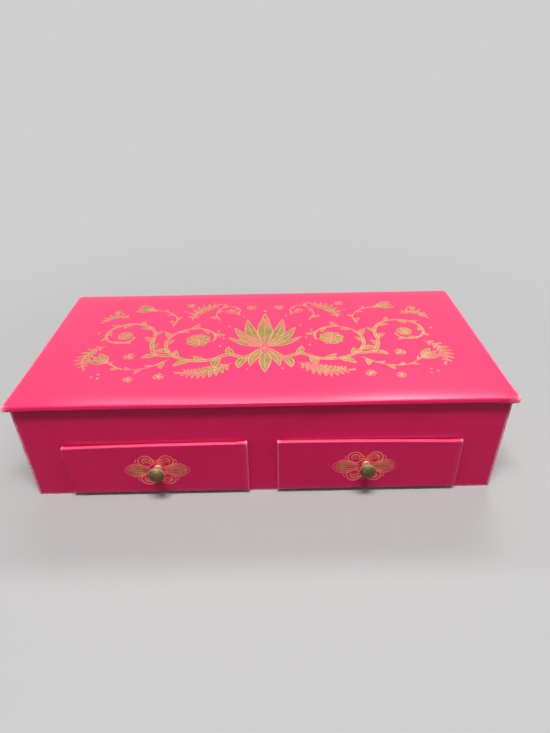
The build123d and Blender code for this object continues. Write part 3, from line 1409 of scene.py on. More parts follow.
    def rubbing(self, place: Vector) -> float:
        """Wears the side and back edges, and the corners most, and paints highlights along them.

        Args:
            place: a point of the mesh.

        Returns:
            How much wear and painted highlight it gets there.
        """
        gap_x = min(place.x - self.low.x, self.high.x - place.x)
        gap_front, gap_back = place.y - self.low.y, self.high.y - place.y
        over = place.z > self.edge_top - 1.7
        sides = fall(gap_x, 1.1, 0.8) * self.side_wear * over
        back = fall(gap_back, 0.9, 0.8) * self.back_wear * over
        corner = max(0.0, 1 - math.hypot(gap_x, min(gap_front, gap_back)) / 4.5)
        ear = self.ear_wear * (gap_front < 0.6 and self.high.x - place.x < self.fold[1])
        return min(1.0, max(sides, back, ear) + corner * self.corner_wear)

    def covering(self) -> None:
        """Leatherette round the lid, open where the lining is."""
        form = Form("lid_covering")
        top = Vector((self.high.x, self.high.y, self.edge_top))
        form.block(self.low, top)
        under = form.faces(facing(-UP))
        bmesh.ops.inset_region(form.bm, faces=under, thickness=self.turn_in, use_even_offset=True)
        bmesh.ops.delete(form.bm, geom=under, context="FACES")
        upper = form.ridges(lambda a, b: min(a.z, b.z) > top.z - NEAR)
        form.round(upper, self.edge_radius, 5)
        lower = form.ridges(lambda a, b: max(a.z, b.z) < self.low.z + NEAR)
        form.round(lower, self.lip_radius, 4)
        upright = form.ridges(lambda a, b: abs(a.z - b.z) > 0.02, 0.75)
        form.round(upright, self.corner_radius, 2)
        gaps = (1.4, 1.9, 3.0, 4.0, 5.6, 7.6, 10.0, 12.4, 15.0, 17.5)
        form.cut(RIGHT, lines_near(self.low.x, self.high.x, gaps))
        form.cut(RIGHT, lines_across(self.low.x + 20, self.high.x - 20, 5.0))
        form.cut(BACK, lines_near(self.low.y, self.high.y, gaps))
        form.cut(BACK, lines_across(self.low.y + 20, self.high.y - 20, 9.0))
        form.cut(UP, [self.low.z + step for step in (1.5, 2.25, 2.85, 3.15)])
        creased = self.high.x - self.crease
        along = lines_across(creased - 0.5, self.high.x - 5.0, 0.5)
        form.cut(RIGHT, along, form.faces(facing(-BACK, 0.7)))
        front = form.faces(lambda place, normal: normal.y < -0.7 and place.x > creased - 1.0)
        form.cut(UP, lines_across(self.low.z + 0.6, self.low.z + 3.3, 0.3), front)
        # wear, with painted highlights along the side and back edges and corners
        form.paint("wear", self.rubbing)
        # painted shade in the crease at the right front corner
        form.paint("soil", self.creasing)
        glazed = top.z - 0.5
        form.paint("glaze", lambda place: self.glaze * ease((place.z - glazed) / 0.45))
        form.paint("fade", lambda place: self.fading)
        form.move(self.handwork)
        made = form.piece(PALETTE.cloth, Slot.LEATHERETTE, self.skin)
        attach(made, "lid")
        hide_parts("lid_cover")

    def board(self) -> None:
        """Stiff board, rounded off at its edges as the covering over it shows."""
        low, high = corners("lid_board")
        form = Form("lid_greyboard")
        form.block(low, high)
        above, below = self.board_radii
        form.round(form.ridges(lambda a, b: min(a.z, b.z) > high.z - NEAR), above, 4)
        form.round(form.ridges(lambda a, b: max(a.z, b.z) < low.z + NEAR), below, 4)
        gaps = (2.6, 4.0, 5.6, 7.6, 10.0)
        form.cut(RIGHT, lines_near(low.x, high.x, gaps))
        form.cut(BACK, lines_near(low.y, high.y, gaps))
        form.move(self.tucked)
        made = form.piece(PALETTE.board, Slot.BOARD)
        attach(made, "lid")
        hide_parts("lid_board")

    def wadding(self) -> None:
        """Thin pad between the board and the covering, which ends where the edge is rounded."""
        low, high = corners("lid_padding")
        form = Form("lid_wadding")
        inset = Vector((self.wadding_inset, self.wadding_inset, 0))
        form.block(low + inset, high - inset - UP * self.crown)
        gaps = (2.0, 4.0, 7.0, 10.0, 14.5)
        form.cut(RIGHT, lines_near(low.x, high.x, gaps))
        form.cut(BACK, lines_near(low.y, high.y, gaps))
        form.move(lambda place: UP * (self.rise(place) if place.z > low.z + 0.05 else 0.0))
        made = form.piece(PALETTE.wool, Slot.WADDING)
        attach(made, "lid")
        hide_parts("lid_padding")

    def ornament(self) -> None:
        """Scrolling vines with leaves, bell flowers and rosettes, the same on both halves."""
        centre = Vector((*self.ornament_centre, self.high.z))
        stamp = Stamping("lid", centre, RIGHT, BACK)
        stamp.leaf((0, -16), (0, 38), 12.0, 0, 0.8)
        stamp.leaf((0, -24), (0, -54), 9.0, 0, 0.8)
        stamp.disc((0, 43), 1.3)
        stamp.disc((0, -20), 2.2)
        stamp.ring((0, -20), 3.6, 0.7)
        for stamp.flip in (1, -1):
            self.half_ornament(stamp)
        stamp.finish(PALETTE.foil_line, PALETTE.foil_fill, "lid")

    def half_ornament(self, stamp: Stamping) -> None:
        """Draws one half of the ornament.

        Args:
            stamp: the stamping that it belongs to.
        """
        for tip, breadth, bend in (
            ((15, 28), 9.0, -2.5),
            ((25, 13), 8.0, -2.5),
            ((29, -3), 6.0, -2.0),
            ((11, -45), 7.0, 2.0),
        ):
            stamp.leaf((2.6, -17 if tip[1] > -9 else -23), tip, breadth, bend)
        for centre in ((18, 33), (29.5, 16), (33, -4), (13, -49)):
            stamp.disc(centre, 0.9)
        scroll = [(3.5, -22), (15, -33), *curl((53, -6), (34, 12), (-139, 190), 14)]
        stamp.vine(scroll, 3.4, 13, 17)
        stamp.rosette((53, -6), 10.0, 8, 12)
        outer = [(69, -29), (83, -27), (89, -13), *curl((113, 3), (24, 8), (178, -165), 13)]
        stamp.vine(outer, 2.6, 12, 13)
        stamp.rosette((113, 3), 6.4, 6, 20)
        upper = [(37, 25), (42, 36), *curl((29, 43), (13, 5), (-12, 240), 9)]
        stamp.vine(upper, 1.0, 5, 9)
        stamp.rosette((29, 43), 4.6, 5, 90)
        stamp.vine([(72, -34), (86, -45), (103, -47), (117, -38)], 1.0, 6, 10)
        stamp.bell((117, -38), (130, -29), 9.0)
        stamp.vine([(77, 16), (75, 31), (83, 43), (97, 49)], 1.0, 5, 9)
        stamp.bell((97, 49), (113, 52), 8.5)
        stamp.spray([(24, -40), (34, -48), (48, -53), (62, -52)], 9, 10)
        stamp.spray([(62, 27), (60, 40), (52, 51), (40, 57)], 7, 9)
        stamp.spray([(124, -12), (133, -20), (137, -33), (133, -46)], 7, 8)
        stamp.spray([(116, 34), (124, 38), (132, 36), (138, 27)], 6, 7)
        for centre, radius, petals in (
            ((12, 50), 4.4, 5),
            ((66, 56), 4.0, 5),
            ((76, -57), 4.0, 5),
            ((103, -29), 4.6, 6),
            ((129, 45), 4.0, 5),
            ((97, -60), 3.6, 5),
        ):
            stamp.rosette(centre, radius, petals, centre[0])
        for centre in ((38, 8), (35, -16), (70, 44), (120, -53), (124, -56), (119, -58), (136, 8)):
            stamp.disc(centre, 1.0)

    def build(self) -> None:
        """Makes and dresses every piece of the lid."""
        self.covering()
        self.wadding()
        self.board()
        self.ornament()
        dress(PALETTE.lining, "lid_lining")


@dataclass
class Case:
    """The case: its covering, the divider, and the boards and papers kept from the CAD.

    Attributes:
        corner_radius: rounding of its upright corners.
        rim: breadth of the covered rim.
        turn_in: how far the covering goes down inside.
        flange: breadth of the covering under the walls.
        flange_drop: how far that lies under the boards.
        skin: thickness of the covering.
        fold: rounding of its turned edges.
        spread: how far its ends stand out beyond the CAD, left and right.
        scuff: height of the painted reflection line above the drawers.
        scuff_fade: how pale that painted reflection is.
        corner_wear: how worn the upright corners are, in front and at the back, with a painted
            highlight along them.
        rim_wear: how worn the rim is.
        foot_wear: how worn the bottom edge is.
        reveal: how far short of the guides a drawer opening ends.
        gap_under: how far it goes down below the tray.
        gap_over: how far it goes up above the tray.
    """

    corner_radius: float = 1.2
    rim: float = 3.3
    turn_in: float = 10.0
    flange: float = 0.9
    flange_drop: float = 0.3
    skin: float = 0.3
    fold: float = 0.35
    spread: Pair = (1.7, 0.9)
    scuff: float = 50.0
    scuff_fade: float = 0.5
    corner_wear: tuple[float, float] = (0.9, 0.25)
    rim_wear: float = 0.18
    foot_wear: float = 0.5
    reveal: float = 0.4
    gap_under: float = 0.1
    gap_over: float = 1.0

    def __post_init__(self) -> None:
        """Reads the case's place from the CAD."""
        self.low, self.high = corners("case_cover")

    def spreading(self, place: Vector) -> Vector:
        """Lets the end walls stand out, all but the part of the covering that is turned in.

        Args:
            place: a point of the mesh.

        Returns:
            How far it goes.
        """
        gap_x = self.high.x - abs(place.x)
        gap_y = self.high.y - abs(place.y)
        if place.z < self.low.z - 0.2 and min(gap_x, gap_y) > 0.8:
            return Vector()
        out = self.spread[place.x > 0] * fall(gap_x, 1.7, 1.2)
        return RIGHT * math.copysign(out, place.x)

    def fading(self, place: Vector) -> float:
        """Paints a pale reflection line on the front, just above both drawers.

        Args:
            place: a point of the mesh.

        Returns:
            How strong the painted reflection is there.
        """
        if place.y > self.low.y + NEAR:
            return 0.0
        line = 0.0
        for side in Side:
            low, high = corners(f"{side.word}_drawer_front_cover")
            along = ease((place.x - low.x - 2) / 8) * ease((high.x - 2 - place.x) / 8)
            line = max(line, along * (1 - abs(place.z - self.scuff) / 1.5))
        return self.scuff_fade * line

    def rubbing(self, place: Vector) -> float:
        """Wears the rim and the foot, and the upright corners most, with painted highlights on the
        corners.

        Args:
            place: a point of the mesh.

        Returns:
            How much wear and painted highlight it gets there.
        """
        gap_x = self.high.x - abs(place.x)
        gap_y = self.high.y - abs(place.y)
        upright = fall(max(gap_x, gap_y), 1.6, 0.5) * self.corner_wear[place.y >= 0]
        rim = self.rim_wear * ease((place.z - self.high.z + 0.6) / 0.5)
        foot = self.foot_wear * fall(place.z - self.low.z, 0.4, 0.8)
        foot *= min(gap_x, gap_y) < 0.3
        return min(1.0, max(upright, rim, foot))

    def in_front(self, place: Vector, normal: Vector) -> bool:
        """A test for faces on the outside of the front."""
        return normal.y < -0.9 and place.y < self.low.y + NEAR

    def covering(self) -> None:
        """Leatherette round the walls, over the rim and into the drawer openings."""
        form = Form("case_covering")
        foot = self.low - UP * self.flange_drop
        form.block(foot, self.high)
        top = form.faces(facing(UP))
        bmesh.ops.inset_region(form.bm, faces=top, thickness=self.rim, use_even_offset=True)
        form.sink(top, UP * -self.turn_in, True)
        under = form.faces(facing(-UP))
        bmesh.ops.inset_region(form.bm, faces=under, thickness=self.flange, use_even_offset=True)
        bmesh.ops.delete(form.bm, geom=under, context="FACES")
        for side in Side:
            self.opening(form, side)
        outer = self.high.x - NEAR
        upright = form.ridges(lambda a, b: abs(a.z - b.z) > 1 and min(abs(a.x), abs(b.x)) > outer)
        form.round(upright, self.corner_radius, 4)
        form.round(form.ridges(anywhere), self.fold, 2)
        gaps = (1.6, 2.1, 3.0)
        form.cut(RIGHT, lines_near(self.low.x, self.high.x, gaps))
        form.cut(BACK, lines_near(self.low.y, self.high.y, gaps))
        form.cut(UP, [foot.z + 0.8, foot.z + 1.8, self.high.z - 0.9])
        # mesh lines for the painted reflection line above the drawers
        beside = lines_across(self.scuff - 2.5, self.scuff + 2.5, 0.5)
        form.cut(UP, beside, form.faces(self.in_front))
        along = lines_across(self.low.x + 4, self.high.x - 4, 4.0)
        form.cut(RIGHT, along, form.faces(self.in_front))
        # wear, with painted highlights on the upright corners
        form.paint("wear", self.rubbing)
        # painted reflection line above the drawers
        form.paint("fade", self.fading)
        form.move(self.spreading)
        made = form.piece(PALETTE.cloth, Slot.LEATHERETTE, self.skin)
        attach(made, "case")
        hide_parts("case_cover")

    def opening(self, form: Form, side: Side) -> None:
        """Cuts a drawer opening and turns the covering in round it.

        Args:
            form: the covering's mesh.
            side: which drawer it is for.
        """
        tray_low, tray_high = corners(f"{side.word}_tray_bottom")
        guide = corners(f"{side.word}_bay_right_guide")[0].x
        middle = (tray_low.x + tray_high.x) / 2
        half = guide - self.reveal - middle
        low = tray_low.z - self.gap_under
        high = corners(f"{side.word}_tray_left_side")[1].z + self.gap_over
        wall_back = corners("front_wall")[1].y
        form.cut(RIGHT, (middle - half, middle + half), form.faces(self.in_front))
        form.cut(UP, (low, high), form.faces(self.in_front))
        hole = form.faces(
            lambda place, normal: self.in_front(place, normal)
            and abs(place.x - middle) < half
            and low < place.z < high
        )
        form.sink(hole, BACK * (wall_back - self.low.y), True)

    def divider(self) -> None:
        """Paper-covered board between note sheets and envelopes."""
        low, high = corners("letter_divider")
        form = Form("envelope_divider")
        form.block(low, high)
        form.round(form.ridges(anywhere), self.fold, 2)
        made = form.piece(PALETTE.lining, Slot.LINING)
        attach(made, "case")
        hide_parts("letter_divider")

    def build(self) -> None:
        """Makes and dresses every piece of the case."""
        self.covering()
        self.divider()
        boards = ["bottom_board", "left_side_board", "right_side_board", "back_board"]
        boards += ["front_wall", "shelf_board"]
        for side in Side:
            boards += [f"{side.word}_bay_left_guide", f"{side.word}_bay_right_guide"]
        dress(PALETTE.board, *boards)
        dress(PALETTE.lining, "compartment_lining")
        dress(PALETTE.base, "bottom_sheet")


@dataclass
class Hinge:
    """Strip of leatherette that joins the lid to the back of the case.

    Attributes:
        skin: its thickness.
        edge_radius: rounding of its back's edges.
        reach: half the height over which it goes from the case to the lid; not used.
        bend: half the height of the part with close cross lines.
        pitch: distance between them.
        relief: how far from the axis it is flat again.
        wear: how worn the bend is.
    """

    skin: float = 0.38
    edge_radius: float = 0.15
    reach: float = 0.7
    bend: float = 0.9
    pitch: float = 0.12
    relief: float = 1.4
    wear: float = 0.3

    def wrapped(self, place: Vector) -> Vector:
        """Lets the top of the strip follow the rounded edge of the lid.

        Args:
            place: a point of the mesh.

        Returns:
            How far it goes.
        """
        radius = Lid.edge_radius
        over = place.z - (corners("lid_cover")[1].z - Lid.crown - radius)
        if over <= 0:
            return Vector()
        return BACK * (math.sqrt(max(0.0, radius**2 - over**2)) - radius)

    def build(self) -> None:
        """Makes the strip from the case to the lid, wrapped over the lid's rounded edge."""
        low = corners("hinge_case_leaf")[0]
        high = corners("hinge_lid_leaf")[1]
        axis = corners("case_cover")[1]
        form = Form("hinge_cloth")
        form.block(low, Vector((high.x, low.y + self.skin, high.z)))
        form.round(form.ridges(lambda a, b: min(a.y, b.y) > low.y + NEAR), self.edge_radius, 1)
        form.cut(UP, lines_across(axis.z - self.bend, axis.z + self.bend, self.pitch))
        form.cut(UP, (axis.z - self.relief, axis.z + self.relief))
        form.cut(UP, lines_across(high.z - 1.8, high.z, 0.3))
        form.paint("wear", lambda place: self.wear * fall(abs(place.z - axis.z), 0.3, 1.0))
        form.move(self.wrapped)
        made = form.piece(PALETTE.cloth, Slot.LEATHERETTE)
        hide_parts("hinge_case_leaf", "hinge_lid_leaf")
        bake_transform(made)


@dataclass
class Stay:
    """Ribbon that stops the lid, made straight for the open lid and folded back for the shut one.

    Attributes:
        opening: the lid's greatest angle in degrees.
        width: the ribbon's width.
        thickness: its thickness.
        drop: how far its middle is fixed below the rim.
        proud: how far it lies inside the wall.
        steps: how many pieces long it is.
    """

    opening: float = 100.0
    width: float = 12.0
    thickness: float = 0.4
    drop: float = 6.6
    proud: float = 0.1
    steps: int = 64

    def build(self) -> None:
        """Makes the ribbon, folded back from case to lid as for the shut lid."""
        low, high = corners("stay_ribbon")
        rim = corners("case_cover")[1]
        hinge = Vector((rim.y, rim.z))
        wall_x, lid_x = high.x + self.proud, low.x + self.thickness / 2
        wall = Vector((low.y, rim.z - self.drop)) - hinge
        turn = math.radians(self.opening)
        lid = Matrix.Rotation(-turn, 2) @ (Vector((low.y, rim.z)) - hinge)
        chord = (lid - wall).normalized()
        aside = Vector((-chord.y, chord.x)) * (self.width / 2)
        lid_way = lid.normalized()
        first, last = math.atan2(-wall.y, -wall.x), math.atan2(-lid.y, -lid.x)
        form = Form("ribbon_stay")
        across = form.bm.verts.layers.float.new("across")
        along = form.bm.verts.layers.float.new("along")
        grid = bmesh.ops.create_grid(form.bm, x_segments=self.steps, y_segments=2, size=0.5)
        for vert in grid["verts"]:
            share, hand = vert.co.x + 0.5, vert.co.y * 2
            start = wall + aside * hand
            # where this edge of the ribbon meets the lid's plane
            reach = start.cross(lid_way) / lid_way.cross(chord)
            middle = wall + chord * (share * (lid - wall).length)
            angle = math.atan2(-middle.y, -middle.x)
            part = min(max((angle - first) / (last - first), 0.0), 1.0)
            place = Matrix.Rotation(turn * part, 2) @ (start + chord * (reach * share))
            shift = 0.5 - math.sin(math.asin(1 - 2 * part) / 3)
            vert.co = (wall_x + (lid_x - wall_x) * shift, hinge.x + place.x, hinge.y + place.y)
            vert[across] = hand
            vert[along] = share * reach * MILLIMETRE
        made = form.piece(PALETTE.ribbon, Slot.RIBBON)
        shell = made.modifiers.new("thickness", "SOLIDIFY")
        shell.thickness = self.thickness * MILLIMETRE
        shell.offset = 0.0
        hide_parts("stay_ribbon")
        start = Vector((wall_x, low.y, rim.z)) * MILLIMETRE
        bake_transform(made)


# Radius and depth along the side of a knob, from its seat to the rim of its face.
KNOB_SIDE = (
    (0.0, 0.0),
    (3.0, 0.0),
    (3.0, -0.35),
    (2.85, -0.6),
    (2.68, -0.8),
    (2.66, -1.2),
    (2.8, -1.7),
    (3.25, -2.5),
    (3.9, -3.4),
    (4.55, -4.3),
    (5.1, -5.15),
    (5.48, -5.95),
    (5.66, -6.7),
    (5.7, -7.4),
    (5.6, -7.85),
    (5.4, -8.05),
    (5.24, -8.15),
)
# The domed face: its height, and the angles of its points in degrees.
DOME_HEIGHT = 2.45
DOME_ANGLES = (8, 18, 29, 41, 54, 68, 80, 90)


@dataclass
class Drawer:
    """One drawer: covered front with its stamping, papered tray, knob, washer and screw.

    Attributes:
        side: which of the two it is.
        edge_radius: rounding of the front's edges.
        fold: rounding of the covering's other edges.
        skin: thickness of the covering.
        paper: thickness of the tray's paper.
        paper_fold: rounding of its edges.
        wall: thickness of the tray's walls.
        ear: length of the folded corner on the front's top edge.
        ear_lift: how far that stands up.
        cartouche_shift: how far the stamping is from the knob, across and up.
        bulge: how far the top edge stands up at the inner end, left and right drawer.
        droop: how far it hangs down all along.
        splay: how far the right drawer's outer end stands out at its foot.
        back_radius: rounding of the top edge where it meets the case.
        end_wear: how worn the right end is, with a painted highlight.
        inner_wear: how worn the right drawer's left end is, with a painted highlight.
        foot_wear: how worn the bottom edge is.
        corner_wear: how worn the corners are, with a painted highlight.
        end_fade: how pale the painted highlight in a band down the right end is.
        foot_fade: how pale the painted light on the foot is.
        shank: radius of the screw.
        head: height of its head.
        slot: width and depth of the slot in that.
        slot_turn: how far it was turned home, in radians.
        head_patina: how dulled it is.
    """

    side: Side
    edge_radius: float = 0.9
    fold: float = 0.35
    skin: float = 0.35
    paper: float = 0.2
    paper_fold: float = 0.3
    wall: float = 1.6
    ear: float = 6.5
    ear_lift: float = 0.35
    cartouche_shift: Point = (-0.9, -2.1)
    bulge: Pair = (1.9, 2.5)
    droop: float = 0.1
    splay: float = 1.0
    back_radius: float = 0.9
    end_wear: float = 0.4
    inner_wear: float = 0.5
    foot_wear: float = 0.25
    corner_wear: float = 1.1
    end_fade: float = 0.16
    foot_fade: float = 0.22
    shank: float = 1.3
    head: float = 1.6
    slot: tuple[float, float] = (0.64, 0.6)
    slot_turn: float = 0.6
    head_patina: float = 0.4

    def __post_init__(self) -> None:
        """Reads the drawer's place from the CAD."""
        self.name = self.side.word
        self.body = f"{self.name}_drawer"
        self.low, self.high = corners(f"{self.name}_drawer_front_cover")
        knob_low, knob_high = corners(f"{self.name}_knob")
        middle = (knob_low + knob_high) / 2
        self.seat = Vector((middle.x, self.low.y, middle.z))

    def rubbing(self, place: Vector) -> float:
        """Wears the ends and the foot a little, and the corners most, with painted highlights on
        the ends and corners.

        Args:
            place: a point of the mesh.

        Returns:
            How much wear and painted highlight it gets there.
        """
        gap_x = min(place.x - self.low.x, self.high.x - place.x)
        gap_z = min(place.z - self.low.z, self.high.z - place.z)
        foot = self.foot_wear * fall(place.z - self.low.z, 0.4, 0.8)
        upright = self.end_wear * fall(self.high.x - place.x, 0.5, 0.5)
        if self.side is Side.RIGHT:
            upright = max(upright, self.inner_wear * fall(place.x - self.low.x, 0.5, 0.5))
        corner = self.corner_wear * max(0.0, 1 - math.hypot(gap_x, gap_z) / 2.4)
        return min(1.0, max(foot, upright) + corner)

    def fading(self, place: Vector) -> float:
        """Paints highlights on the top edge, the foot and a band down the right end.

        Args:
            place: a point of the mesh.

        Returns:
            How much painted highlight it gets there.
        """
        top = ease((place.z - self.high.z + 0.95) / 0.5) * (1 - self.soiling(place))
        end = self.end_fade * fall(self.high.x - place.x, 3.0, 1.2)
        foot = self.foot_fade * fall(place.z - self.low.z, 1.6, 2.0)
        return max(top, end, foot)

    def soiling(self, place: Vector) -> float:
        """How much painted shade a place gets: the back of the top edge, in the crevice close to
        the case.
        """
        return ease((place.z - self.high.z + 1.0) / 0.3) * ease((place.y - self.low.y - 2.0) / 0.5)

    def handwork(self, place: Vector) -> Vector:
        """Gives the folded ear, the uneven top edge, the splayed end and a little waviness.

        Args:
            place: a point of the mesh.

        Returns:
            How far it goes.
        """
        on_top = ease((place.z - self.high.z + 1.2) / 0.8)
        start = self.high.x - self.ear - (place.y - self.low.y) * 0.5
        ear = ease((place.x - start) / 0.7)
        lift = UP * (on_top * ear * self.ear_lift)
        wave = noise.noise(Vector((place.x / 24, place.z / 30, self.low.x)))
        face = ease((self.low.y + 1.0 - place.y) / 0.8)
        bottom = ease((self.low.z + 1.0 - place.z) / 0.8)
        sag = noise.noise(Vector((place.x / 17, 7.0, self.low.x)))
        outer = self.low.x if self.side is Side.LEFT else self.high.x
        inwards = swell(abs(place.x - outer) / (self.high.x - self.low.x))
        height = (place.z - self.low.z) / (self.high.z - self.low.z)
        cut = height * (self.bulge[self.side is Side.RIGHT] * inwards - self.droop)
        aside = self.splay * (1 - height) * ease((place.x - self.high.x + 8) / 7)
        lift += RIGHT * (aside if self.side is Side.RIGHT else 0.0)
        return lift - BACK * (face * 0.06 * wave) + UP * (bottom * 0.18 * sag + cut)

    def front(self) -> None:
        """Leatherette all round the front board."""
        form = Form(f"{self.name}_front_covering")
        form.block(self.low, self.high)
        face = self.low.y + NEAR
        form.round(form.ridges(lambda a, b: max(a.y, b.y) < face), self.edge_radius, 4)
        back, top = self.high.y - NEAR, self.high.z - NEAR
        edge = form.ridges(lambda a, b: min(a.y, b.y) > back and min(a.z, b.z) > top)
        form.round(edge, self.back_radius, 3)
        form.round(form.ridges(anywhere), self.fold, 2)
        gaps = (1.4, 2.2, 3.6, 4.6)
        form.cut(RIGHT, lines_near(self.low.x, self.high.x, gaps))
        form.cut(UP, lines_near(self.low.z, self.high.z, gaps[:3]))
        form.cut(RIGHT, lines_across(self.high.x - 9.4, self.high.x - 4.8, 0.5))
        form.cut(RIGHT, lines_across(self.low.x + 5, self.high.x - 10, 6.0))
        form.cut(BACK, [self.low.y + step for step in (1.2, 1.55, 1.9, 2.2)])
        # wear, with painted highlights on the ends and corners
        form.paint("wear", self.rubbing)
        # painted highlights on the top edge, the foot and the right end
        form.paint("fade", self.fading)
        # painted shade in the crevice behind the top edge
        form.paint("soil", self.soiling)
        form.move(self.handwork)
        made = form.piece(PALETTE.cloth, Slot.LEATHERETTE, self.skin)
        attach(made, self.body)
        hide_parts(f"{self.name}_drawer_front_cover")

    def tray(self) -> None:
        """Paper over the tray's walls, inside and out."""
        low = corners(f"{self.name}_tray_bottom")[0]
        high = corners(f"{self.name}_tray_left_side")[1]
        right = corners(f"{self.name}_tray_right_side")[1]
        floor = corners(f"{self.name}_tray_bottom")[1].z
        grow = self.paper
        form = Form(f"{self.name}_tray_paper")
        form.block(
            Vector((low.x - grow, low.y + 0.02, low.z)),
            Vector((right.x + grow, high.y + grow, high.z + grow)),
        )
        top = form.faces(facing(UP))
        rim = self.wall + 2 * grow
        bmesh.ops.inset_region(form.bm, faces=top, thickness=rim, use_even_offset=True)
        form.sink(top, UP * (floor - high.z))
        bmesh.ops.delete(form.bm, geom=form.faces(facing(-UP)), context="FACES")
        form.round(form.ridges(anywhere), self.paper_fold, 2)
        made = form.piece(PALETTE.lining, Slot.LINING, grow)
        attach(made, self.body)
        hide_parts(f"{self.name}_tray_lining")

    def knob(self) -> None:
        """Turned knob: a foot, a short neck, a head that widens like a cone, a low dome."""
        brow, brow_depth = KNOB_SIDE[-1]
        outline = list(KNOB_SIDE)
        for angle in map(math.radians, DOME_ANGLES):
            outline.append((brow * math.cos(angle), brow_depth - DOME_HEIGHT * math.sin(angle)))
        form = Form(f"{self.name}_turned_knob")
        verts = [
            bmesh.ops.create_vert(form.bm, co=(radius, depth, 0))["vert"][0]
            for radius, depth in outline
        ]
        edges = [form.bm.edges.new(pair) for pair in zip(verts, verts[1:])]
        bmesh.ops.spin(
            form.bm,
            geom=verts + edges,
            cent=(0, 0, 0),
            axis=BACK,
            dvec=(0, 0, 0),
            angle=2 * math.pi,
            steps=56,
            use_merge=True,
            use_duplicate=False,
        )
        form.clean()
        # patina on the face, with painted shade that grows darker towards the bottom
        form.paint(
            "patina", lambda place: ease((-place.y - 7.2) / 0.9) * (0.92 - place.z * 0.045)
        )
        bmesh.ops.translate(form.bm, vec=self.seat, verts=form.bm.verts)
        made = form.piece(PALETTE.brass, Slot.BRASS)
        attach(made, self.body)
        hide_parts(f"{self.name}_knob")

    def screw(self) -> None:
        """Screw with a slotted head inside the tray."""
        low, high = corners(f"{self.name}_knob_screw")
        radius = (high.x - low.x) / 2
        half_slot, slot_depth = self.slot[0] / 2, self.slot[1]
        form = Form(f"{self.name}_slotted_screw")
        bmesh.ops.create_circle(form.bm, cap_ends=True, segments=32, radius=radius)
        form.sink(form.bm.faces[:], UP * self.head)
        under = bmesh.ops.create_circle(form.bm, cap_ends=True, segments=32, radius=radius)
        bottom = {face for vert in under["verts"] for face in vert.link_faces}
        bmesh.ops.reverse_faces(form.bm, faces=list(bottom))
        form.clean()
        inner = form.faces(facing(-UP))
        bmesh.ops.inset_region(form.bm, faces=inner, thickness=radius - self.shank)
        form.sink(inner, UP * (low.y - high.y + self.head))
        top = self.head - 0.01
        form.round(form.ridges(lambda a, b: min(a.z, b.z) > top), 0.8, 4)
        cap = form.faces(lambda place, normal: normal.z > 0.9 and place.z > top)
        form.cut(RIGHT, (-half_slot, half_slot), cap)
        slot = form.faces(
            lambda place, normal: normal.z > 0.9 and place.z > top and abs(place.x) < 0.3
        )
        bmesh.ops.inset_region(form.bm, faces=slot, thickness=0.02)
        form.sink(slot, UP * -slot_depth)
        form.paint("patina", lambda place: self.head_patina)
        turn = Matrix.Rotation(math.radians(-90), 4, "X") @ Matrix.Rotation(self.slot_turn, 4, "Z")
        bmesh.ops.transform(form.bm, matrix=turn, verts=form.bm.verts)
        seat = Vector(((low.x + high.x) / 2, high.y - self.head, (low.z + high.z) / 2))
        bmesh.ops.translate(form.bm, vec=seat, verts=form.bm.verts)
        made = form.piece(PALETTE.steel, Slot.STEEL)
        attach(made, self.body)
        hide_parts(f"{self.name}_knob_screw")

    def cartouche(self) -> None:
        """Traditional cartouche: four scrolled loops and crossed straps between two lobes."""
        centre = self.seat + Vector((self.cartouche_shift[0], 0, self.cartouche_shift[1]))
        stamp = Stamping(f"{self.name}_drawer", centre, RIGHT, UP, 0.65)
        for stamp.flip in (1, -1):
            for level in (1, -1):
                self.loop(stamp, level)
            self.lobe(stamp, 5.6, 23.6, 6.4, False)
            self.lobe(stamp, 6.8, 21.6, 5.1, True)
            for level in (-3.6, -1.8, 1.8, 3.6):
                ray = [(3.5, level * 0.5), (9.0, level), (15.0, level * 0.9), (18.8, level * 0.35)]
                stamp.stroke(Line(ray, 5), 0.5)
            stamp.stroke(Line([(8.0, 0), (12.0, 0), (17.6, 0)], 5), 0.5)
            stamp.ring((19.6, 0), 0.9, 0.5)
        stamp.finish(PALETTE.drawer_line, PALETTE.drawer_fill, self.body)

    def lobe(self, stamp: Stamping, start: float, end: float, half: float, filled: bool) -> None:
        """Draws one outline of a blunt side lobe.

        Args:
            stamp: the stamping that it belongs to.
            start: where it starts, from the middle.
            end: where it ends.
            half: half its height.
            filled: whether it is filled.
        """
        spine = Line([(start, 0), ((start + end) / 2, 0), (end, 0)], 6)
        stamp.shape(
            spine,
            lambda share: half * max(0.0, math.sin(math.pi * share**0.92)) ** 0.65 + 0.03,
            14,
            0.55,
            filled,
        )

    def loop(self, stamp: Stamping, level: int) -> None:
        """Draws one loop of the cartouche, with its rings, its eye and its strap.

        Args:
            stamp: the stamping that it belongs to.
            level: 1 for an upper loop, -1 for a lower one.
        """
        middle = (7.4, 8.6 * level)
        stamp.ring(middle, 5.2, 0.75)
        inner = curl(middle, (3.4, 2.4), (230 * level, -70 * level), 14)
        stamp.stroke(Line(inner, 4), 0.65)
        stamp.leaf((5.6, 7.2 * level), (9.6, 10.8 * level), 1.6, 0, 1.0, False)
        stamp.ring((2.5, 8.6 * level), 1.8, 0.65)
        guard = curl((7.6, 6.2 * level), (7.4, 7.4), (10 * level, 38 * level), 6)
        stamp.stroke(Line(guard, 4), 0.55)
        strap = [(6.6, 3.0 * level), (3.0, 5.4 * level), (-0.6, 7.0 * level), (-2.6, 10.8 * level)]
        stamp.stroke(Line(strap, 6), 0.6)
        stamp.leaf((9.8, 2.6 * level), (13.6, 5.2 * level), 1.8, 0.5 * level, rib=False)

